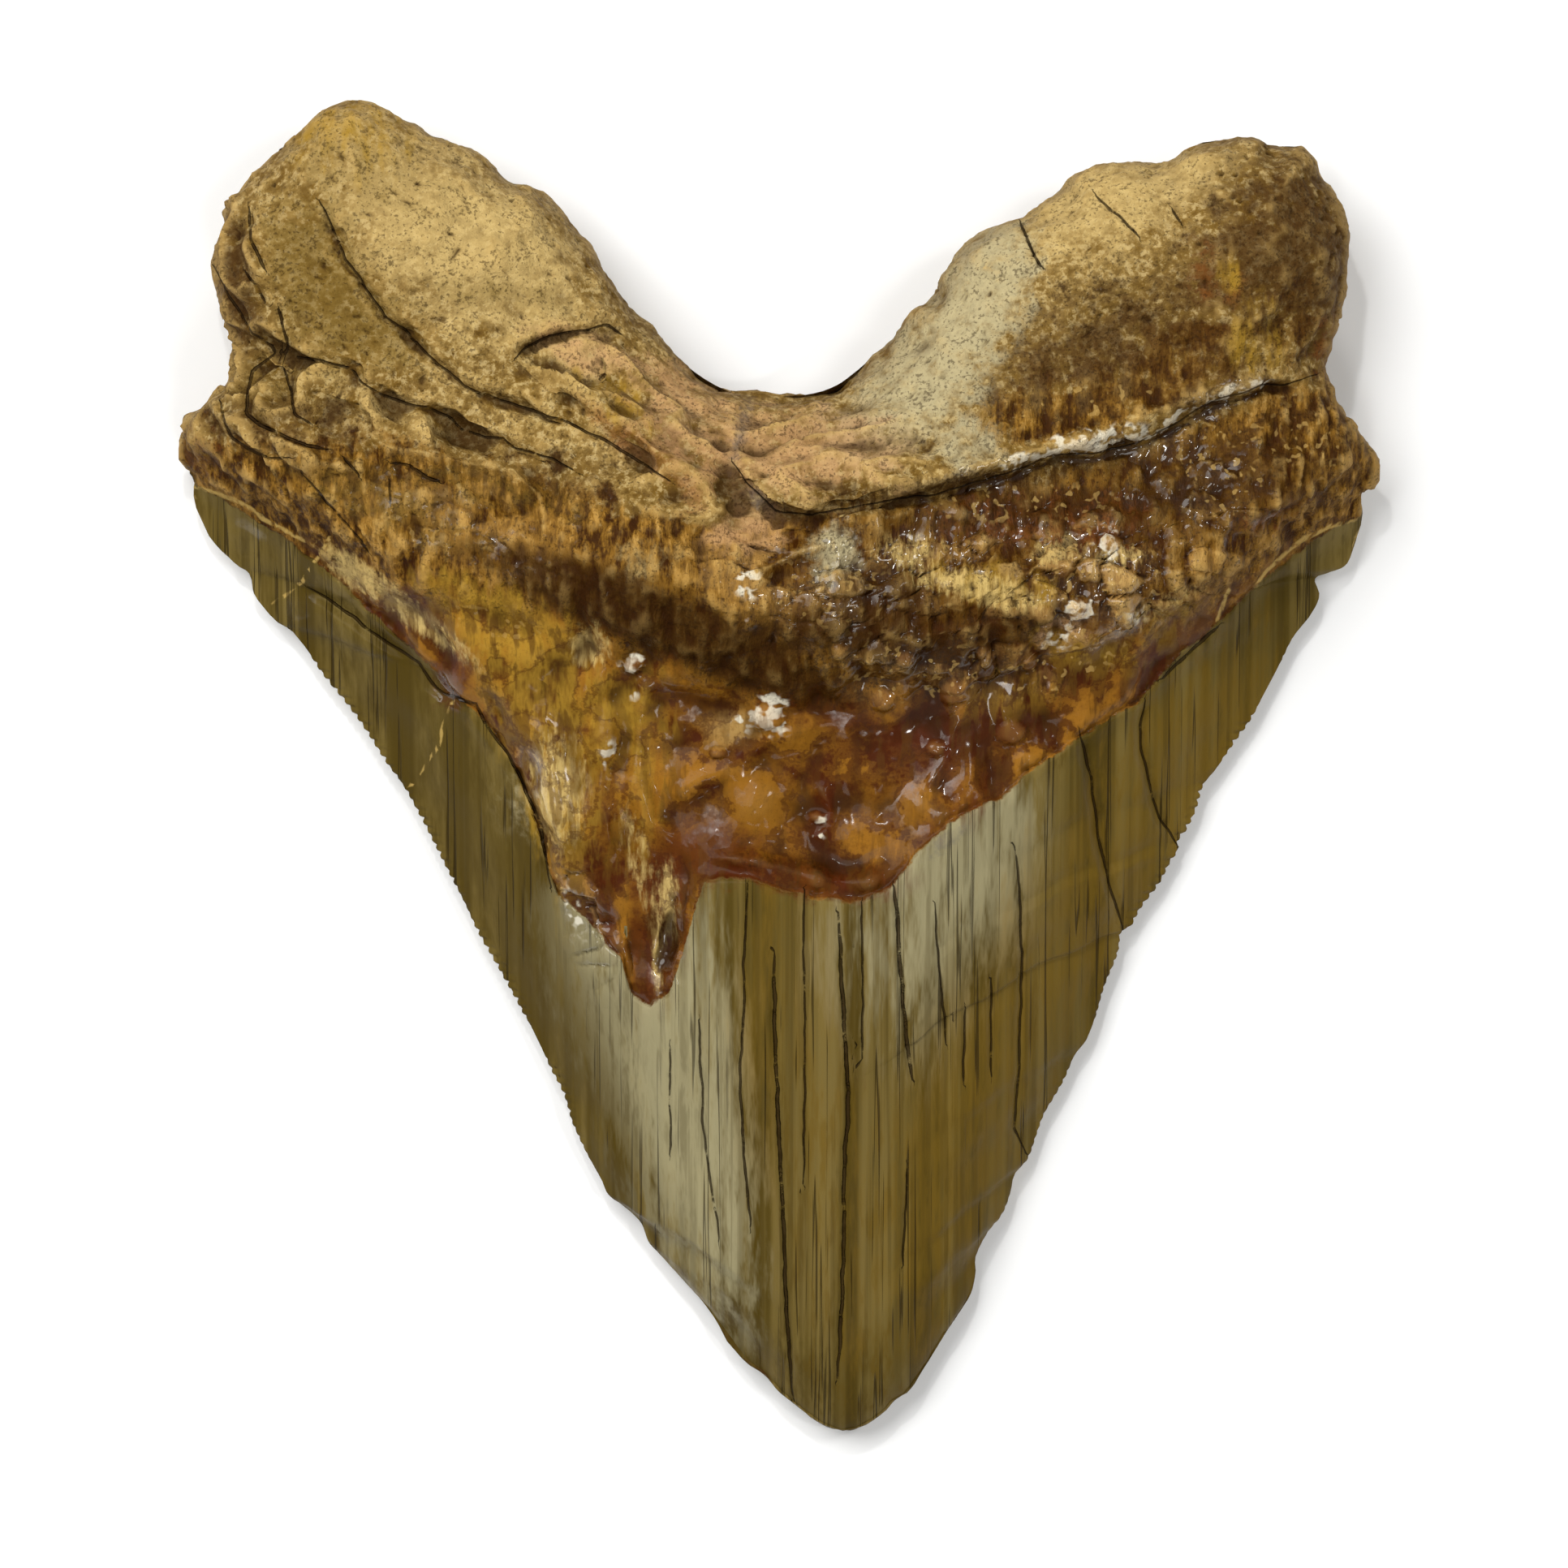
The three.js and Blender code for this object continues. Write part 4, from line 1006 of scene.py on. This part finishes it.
        (-25.2, -7.4, 3.5, 14.7, 27, 0.8), (-34.3, 5.3, 4.9, 6.3, 35, 0.6),
        (-18.2, -23.5, 2.1, 10.5, 27, 0.75), (25.9, -3.9, 2.1, 9.1, -5, 0.4), (3, -52, 5, 4.2, 0, 0.6),
        (11.9, -49.4, 2.8, 6.3, -25, 0.4),
    ],
    "moss": [
        (-39.5, 42, 3.6, 6.5, 22, 0.9), (-34.5, 37.5, 4.5, 3, -35, 0.7), (-44, 33, 3.5, 3, 0, 0.5),
        (-34, 22.5, 8, 2.2, -22, 0.6), (-24, 23.5, 7, 1.6, -15, 0.5), (30, 42.5, 6, 3.5, 0, 0.2),
        (-24, 40.2, 6, 1.2, -5, 0.5), (-35, 51, 7, 3.5, -20, 0.45),
    ],
    "rosy": [
        (-7, 28.6, 5.5, 4.2, -30, 0.6), (3.5, 26.8, 6.5, 3.4, 0, 0.7), (-16.5, 35.5, 4.5, 1.6, -20, 0.6),
        (-3, 20, 3.2, 1.6, 0, 0.7), (25, 11.5, 3.4, 2, 0, 0.4), (-9, 33, 2, 1.2, -40, 0.5),
    ],
    "slate": [
        (-3.2, 28.5, 0.5, 3.2, -14, 0.7), (-1.5, 22.6, 1.6, 0.7, -40, 0.8), (14.5, -6.2, 2.2, 0.6, 35, 0.6),
    ],
    "honey": [
        (36.4, 1.1, 4.9, 8.4, -30, 0.8), (29.4, -10.9, 3.5, 6.3, -20, 0.6),
        (15.4, -33.2, 4.9, 15.4, -15, 0.75), (2.8, -24.9, 2.8, 18.2, 0, 0.4),
        (-2.1, -21.4, 1.7, 11.2, 0, 0.5), (23.1, -16.5, 2.8, 9.8, -20, 0.4),
    ],
}

# %% Soaking the stains in
ON_THE_CROWN = ("grey_green", "deep_olive", "honey")
BELOW_TOO = ("umber", "pale_tan", "deep_olive")

for stain, its_spots in STAINS.items():
    under = 0.7 * ease(lumps(spots, 9, len(stain), 2), 0.1, 0.5) * (stain in BELOW_TOO)
    carried = soaked(its_spots, sx, sy, SOFT_EDGE if stain in ON_THE_CROWN else CLEAR_EDGE)
    # the painted glints stay off the hollows
    if stain == "chalk":
        carried *= 1 - ease(depth, -0.05, 0.25)
    keep(stain, blend(under, carried, facing_up))
print("stains:", len(STAINS), "with spots:", sum(map(len, STAINS.values())))

# %% [markdown]
# ## Shader maths
# A shader's sums are easier to read as sums. This small class holds one socket and lets Python's own signs
# stand for Math nodes. Every other node comes from one method, and another one lays coats of colour over
# each other, each through its own mask.


# %% Sums with sockets
class Wire:
    """The output of a node, to reckon with."""

    def __init__(self, nodes, socket):
        self.nodes, self.socket = nodes, socket

    def math(self, operation, *values):
        return self.nodes.add("ShaderNodeMath", {"operation": operation}, dict(enumerate(values)))

    def __add__(self, other):
        return self.math("ADD", self, other)

    __radd__ = __add__

    def __mul__(self, other):
        return self.math("MULTIPLY", self, other)

    __rmul__ = __mul__

    def __sub__(self, other):
        return self.math("SUBTRACT", self, other)

    def __rsub__(self, other):
        return self.math("SUBTRACT", other, self)

    def __neg__(self):
        return self.math("MULTIPLY", self, -1)

    def __abs__(self):
        return self.math("ABSOLUTE", self)

    def most(self, other):
        return self.math("MAXIMUM", self, other)

    def between(self, low, high):
        """0 at low, 1 at high and smooth between them."""
        settings = {"interpolation_type": "SMOOTHSTEP"}
        return self.nodes.add("ShaderNodeMapRange", settings, {0: self, 1: low, 2: high})


# %% Colours and nodes
def colour(web_code):
    """A colour from its web code, made linear for the shader."""
    parts = [int(web_code[i : i + 2], 16) / 255 for i in (1, 3, 5)]
    return (*(p / 12.92 if p <= 0.04045 else ((p + 0.055) / 1.055) ** 2.4 for p in parts), 1)


class Nodes:
    """The node tree of one material."""

    def __init__(self, name):
        self.material = bpy.data.materials.new(name)
        self.material.use_nodes = True
        self.tree = self.material.node_tree
        self.tree.nodes.clear()

    def add(self, kind, settings=None, values=None, out=0):
        """Adds a node, sets it up, fills its inputs and hands back one of its outputs."""
        node = self.tree.nodes.new(kind)
        for name, value in (settings or {}).items():
            setattr(node, name, value)
        for name, value in (values or {}).items():
            if isinstance(value, Wire):
                self.tree.links.new(value.socket, node.inputs[name])
            else:
                node.inputs[name].default_value = value
        return Wire(self, node.outputs[out]) if len(node.outputs) else None

    def kept(self, name):
        """A number that was stored on the points."""
        return self.add("ShaderNodeAttribute", {"attribute_name": name}, out="Fac")

    def noise(self, places, size, detail=2, roughness=0.55):
        values = {"Vector": places, "Scale": 1 / size, "Detail": detail, "Roughness": roughness}
        return self.add("ShaderNodeTexNoise", None, values)

    def mix(self, share, one, other):
        """Two colours, mixed. Each may be a wire or a web code."""
        one, other = (colour(c) if isinstance(c, str) else c for c in (one, other))
        return self.add("ShaderNodeMix", {"data_type": "RGBA"}, {0: share, 6: one, 7: other}, out=2)

    def paint(self, under, *coats):
        """Lays coats over a colour. Each is a mask, its strength where it is full, and a colour."""
        for mask, strength, its_colour in coats:
            under = self.mix(mask * strength, under, its_colour)
        return under

    def times(self, vector, by):
        return self.add("ShaderNodeVectorMath", {"operation": "MULTIPLY"}, {0: vector, 1: by})


# %% [markdown]
# ## The paint
# Four grounds come first: bone for the root, flaky bone for its foot, resin for the gum band and enamel for
# the crown. The stains follow, each with its edges broken up by noise, then painted shade in the hollows and
# on the steep flanks, painted highlights on the ridges and blisters, dust in the pores, and at last the dark
# cracks.

# %% Textures in millimetres
fossil = Nodes("fossil")
place = fossil.times(fossil.add("ShaderNodeTexCoord", out="Object"), (1 / MM,) * 3)
down_the_tooth = fossil.times(place, (1, 0.1, 0.5))
far_down = fossil.times(place, (1, 0.012, 0.02))
broad = fossil.noise(place, 7, 3)
middling = fossil.noise(place, 2, 4, 0.65)
small = fossil.noise(place, 0.7, 3, 0.65)
speck = fossil.noise(place, 0.3, 2, 0.6)
streak = fossil.noise(down_the_tooth, 0.9, 3, 0.65)
fibre = fossil.noise(fossil.times(place, (1, 0.27, 0.45)), 0.5, 3, 0.65)
hair = fossil.noise(far_down, 0.7, 2, 0.6)
long_band = fossil.noise(far_down, 2.6, 3, 0.6)
segment = fossil.noise(fossil.times(place, (0.8, 0.035, 0.05)), 1)
strand = fossil.noise(fossil.times(place, (1, 0.22, 0.5)), 1.2, 3, 0.6)
swell = fossil.noise(place, 1.7, 1)
blob = fossil.noise(place, 0.9, 1)

# %% Who owns which ground
over_enamel = fossil.kept("over_enamel") + (small - 0.5) * 0.8
enamel = 1 - over_enamel.between(-0.15, 0.15)
rough_ground = 1 - enamel
above_foot = fossil.kept("over_foot") + (middling - 0.5) * 8
bone = above_foot.between(-2, 2).most(1 - fossil.kept("facing_up"))
resin = (1 - bone) * rough_ground
foot = (fossil.kept("below_ledge") + (middling - 0.5) * 1.6).between(0.3, 0.7) * fossil.kept("facing_up")
hollow = fossil.kept("hollow")
dip = fossil.kept("dip")
shine = (fossil.kept("shine") + (middling - 0.5) * 1.5).between(0.25, 0.7)
chipped = fossil.kept("chipped") * rough_ground

# %% Grounds
bone_colour = fossil.paint(
    fossil.mix(middling.between(0.34, 0.66), "#70541f", "#ac9056"),
    (broad.between(0.42, 0.6), 0.4, "#7f6535"),
    (small.between(0.48, 0.62), 0.55, "#58401a"),
    ((1 - small).between(0.5, 0.64), 0.5, "#cfb780"),
)
grain = fossil.kept("flake") * 0.3 + fibre
foot_colour = fossil.mix(grain.between(0.32, 0.62), "#361b02", "#8a6322")
foot_colour = fossil.paint(foot_colour, (grain.between(0.56, 0.72), 0.7, "#bb9048"))
ripple = fossil.kept("ripple") * 0.5 + middling
resin_colour = fossil.mix(ripple.between(0.32, 0.68), "#431c04", "#8e5f1a")
chip_tone = fossil.kept("chip") + (small - 0.5) * 0.5
chip_colour = fossil.mix(chip_tone.between(0.3, 0.9), "#3c1e02", "#a8824a")
enamel_colour = fossil.paint(
    fossil.mix(long_band.between(0.38, 0.62), "#4b3c12", "#705f31"),
    (streak.between(0.5, 0.66), 0.4, "#44350f"),
    (hair.between(0.52, 0.68), 0.5, "#453713"),
)
bony_ground = fossil.mix(foot, bone_colour, foot_colour)
painted = fossil.mix(bone, resin_colour, bony_ground)
painted = fossil.paint(painted, (chipped, 0.75, chip_colour))
painted = fossil.mix(enamel, painted, enamel_colour)

# %% Stains
# name: colour, full strength, how much the noise breaks it up, which noise
STAIN_COLOURS = {
    "pale_tan": ("#c2a76c", 0.7, 0.7, middling),
    "umber": ("#3e2408", 0.85, 1.1, middling),
    "cream": ("#b2a680", 0.85, 0.9, middling),
    "rust": ("#80481a", 0.6, 0.9, middling),
    "ochre": ("#a8842c", 0.7, 1.1, strand),
    "amber": ("#7e5312", 0.65, 1.1, middling),
    "mahogany": ("#4c1e06", 0.85, 0.9, middling),
    # painted shade
    "shadow": ("#2e1702", 0.88, 0.8, fibre),
    # painted sheen on the enamel
    "grey_green": ("#9c9472", 0.85, 0.7, streak),
    "deep_olive": ("#4c3d15", 0.7, 0.6, streak),
    "honey": ("#755b1c", 0.6, 0.7, streak),
    "yellow_cream": ("#c9ae6c", 0.85, 0.8, fibre),
    # painted highlights: pale glints
    "chalk": ("#e0dac6", 0.85, 2, blob),
    "moss": ("#6b5420", 0.7, 0.7, middling),
    "rosy": ("#b88f62", 0.75, 0.9, middling),
    "slate": ("#66605c", 0.6, 0.6, small),
}
NOISE_SPREAD = 2.4

for stain, (its_colour, strength, broken, by) in STAIN_COLOURS.items():
    carried = fossil.kept(stain)
    amount = (carried + (by - 0.5) * broken * NOISE_SPREAD).between(0.12, 0.9) * carried.between(0.02, 0.3)
    if by is streak:
        amount = amount * enamel
    painted = fossil.paint(painted, (amount, strength, its_colour))
print("nodes so far:", len(fossil.tree.nodes))

# %% Painted shade in the hollows, painted highlights on the ridges, and dust in the pores
brown_strand = strand.between(0.47, 0.58) * resin * (1 - fossil.kept("amber"))
dark_ripple = (1 - abs(ripple - 0.5).between(0.01, 0.07)) * resin
# painted shade: the steep flanks of the root are painted darker
flank_shade = fossil.kept("steep").between(0.3, 0.85) * bone * rough_ground
# painted highlight: ridges and bumps are painted paler, which also stands for wear
wear_and_ridge_highlight = ((-dip).between(0.05, 0.45) * 0.6 + (-hollow).between(0.1, 0.9) * 0.5) * rough_ground
wear_and_ridge_highlight = wear_and_ridge_highlight * (1 - resin * 0.85) * (1 - fossil.kept("shadow") * 0.7)
streaks = hair.between(0.5, 0.64) * streak.between(0.4, 0.6) * enamel
pore = (speck + (middling - 0.5) * 0.6).between(0.54, 0.7) * rough_ground * (1 - resin * 0.7)
# painted highlights: small cream sparkles
frost = (blob + (small - 0.5) * 0.12).between(0.62, 0.68) * rough_ground
frost = frost * fossil.kept("frost").between(0.15, 0.6)
chip_edge = (1 - fossil.kept("chip_gap").between(0.02, 0.25)) * chipped * small.between(0.4, 0.55)
painted = fossil.paint(
    painted,
    (brown_strand, 0.7, "#4e2f0c"),
    (dark_ripple, 0.5, "#3c1606"),
    # painted shade on the steep flanks
    (flank_shade, 0.5, "#4e3614"),
    # painted shade in the wide hollows
    (dip.between(0.03, 0.45) * rough_ground, 0.75, "#2c1604"),
    # painted shade in the narrow creases and cracks
    (hollow.between(0.1, 0.9), 0.6, "#241304"),
    # painted highlight on the ridges, partly wear
    (wear_and_ridge_highlight, 0.55, "#c8a664"),
    (streaks, 0.4, "#453815"),
    (pore, 0.6, "#2c1a06"),
    # painted highlights: cream sparkles
    (frost, 0.4, "#cba862"),
    (chip_edge, 0.8, "#1f1004"),
    # painted highlight: the blisters' tops are painted paler
    (fossil.kept("blister").between(0.1, 1), 0.2, "#a8743c"),
)

# %% Stripes, hairlines and cracks
stripe = 1 - (fossil.kept("stripe_gap") + (small - 0.5) * 0.25).between(0.08, 0.24)
hairline = (1 - abs(hair - 0.5).between(0.006, 0.028)) * segment.between(0.53, 0.6) * enamel
crack_width = fossil.kept("crack_width") * (small + middling - 0.1)
crack = 1 - (abs(fossil.kept("crack_side")) - crack_width).between(-0.04, 0.06)
crack = crack * (1 - fossil.kept("crack_gap").between(0.4, 0.6)) * middling.between(0.32, 0.46)
painted = fossil.paint(painted, (stripe, 0.7, "#bfa05a"), (hairline, 0.7, "#241a08"), (crack, 0.8, "#26190a"))

# %% [markdown]
# ## Gloss
# Lacquer lies thick in pools on the band and along the ledge, and thin on the root's foot. The enamel has a
# soft shine of its own, and the upper root is dull.

# %% The material
BUMP_HEIGHT = 0.4 * MM

wet = shine.most(resin * 0.35).most(foot * rough_ground * 0.1)
roughness = 0.64 - wet * 0.4 - enamel * 0.24 + (small - 0.5) * 0.25 + crack * 0.2
bone_grain = small * 0.45 + speck * 0.25
foot_grain = fibre * 0.7 + small * 0.3
height = (bone_grain * (1 - foot) + foot_grain * foot) * bone * rough_ground
height = height + (swell * 0.6 + strand * 0.2) * resin + (hair * 0.12 + long_band * 0.3) * enamel
height = height - crack * 0.8 - hairline * 0.3
bump = fossil.add("ShaderNodeBump", None, {"Strength": 1, "Distance": BUMP_HEIGHT, "Height": height})
surface = fossil.add("ShaderNodeBsdfPrincipled", None, {
    "Base Color": painted,
    "Roughness": roughness,
    "Specular IOR Level": 0.05,
    "Coat Weight": shine * 0.7 + resin * 0.08,
    "Coat Roughness": 0.1,
    "Normal": bump,
})
fossil.add("ShaderNodeOutputMaterial", None, {"Surface": surface})
thinned.materials.append(fossil.material)
print("nodes of the material:", len(fossil.tree.nodes))

# %% [markdown]
# ## Table and light
# A pale table and soft boxes of light from several sides, as for a catalogue. The small lights are there for
# the sparkle on the lacquer.

# %% The table
TABLE_COLOUR = (0.93, 0.94, 0.96, 1)

top = bmesh.new()
bmesh.ops.create_grid(top, x_segments=1, y_segments=1, size=3)
table_mesh = bpy.data.meshes.new("table")
top.to_mesh(table_mesh)
top.free()
table = add_object("table", table_mesh)
white = Nodes("white_table")
plain = white.add("ShaderNodeBsdfPrincipled", None, {"Base Color": TABLE_COLOUR, "Roughness": 0.9})
white.add("ShaderNodeOutputMaterial", None, {"Surface": plain})
table_mesh.materials.append(white.material)
print("table's width in metres:", round(table.dimensions.x, 2))

# %% Lights
# name: place in metres, size in metres, power in watts
LIGHTS = {
    "soft box over the left": ((-0.46, 0.36, 0.74), 0.8, 8.2),
    "soft box over the right": ((0.5, 0.25, 0.75), 0.2, 1.6),
    "low box at the tip": ((0.1, -0.55, 0.75), 0.2, 1.1),
    "spark at the back": ((-0.1, 0.5, 0.7), 0.04, 1.2),
    "spark on the right": ((0.45, -0.1, 0.8), 0.04, 0.9),
}
LAMP_COLOUR = (1, 0.99, 0.96)
SKY_COLOUR, SKY_STRENGTH = (1, 0.98, 0.94, 1), 0.25

for name, (spot, size, power) in LIGHTS.items():
    light = bpy.data.lights.new(name, "AREA")
    light.shape = "DISK"
    light.size = size
    light.energy = power
    light.color = LAMP_COLOUR
    box = add_object(name, light)
    box.location = spot
    box.rotation_euler = (-Vector(spot)).to_track_quat("-Z", "Y").to_euler()
sky = bpy.data.worlds.new("studio")
sky.use_nodes = True
background = sky.node_tree.nodes["Background"]
background.inputs["Color"].default_value = SKY_COLOUR
background.inputs["Strength"].default_value = SKY_STRENGTH
bpy.context.scene.world = sky
bpy.context.scene.view_settings.view_transform = "Standard"
print("lights:", len(LIGHTS))
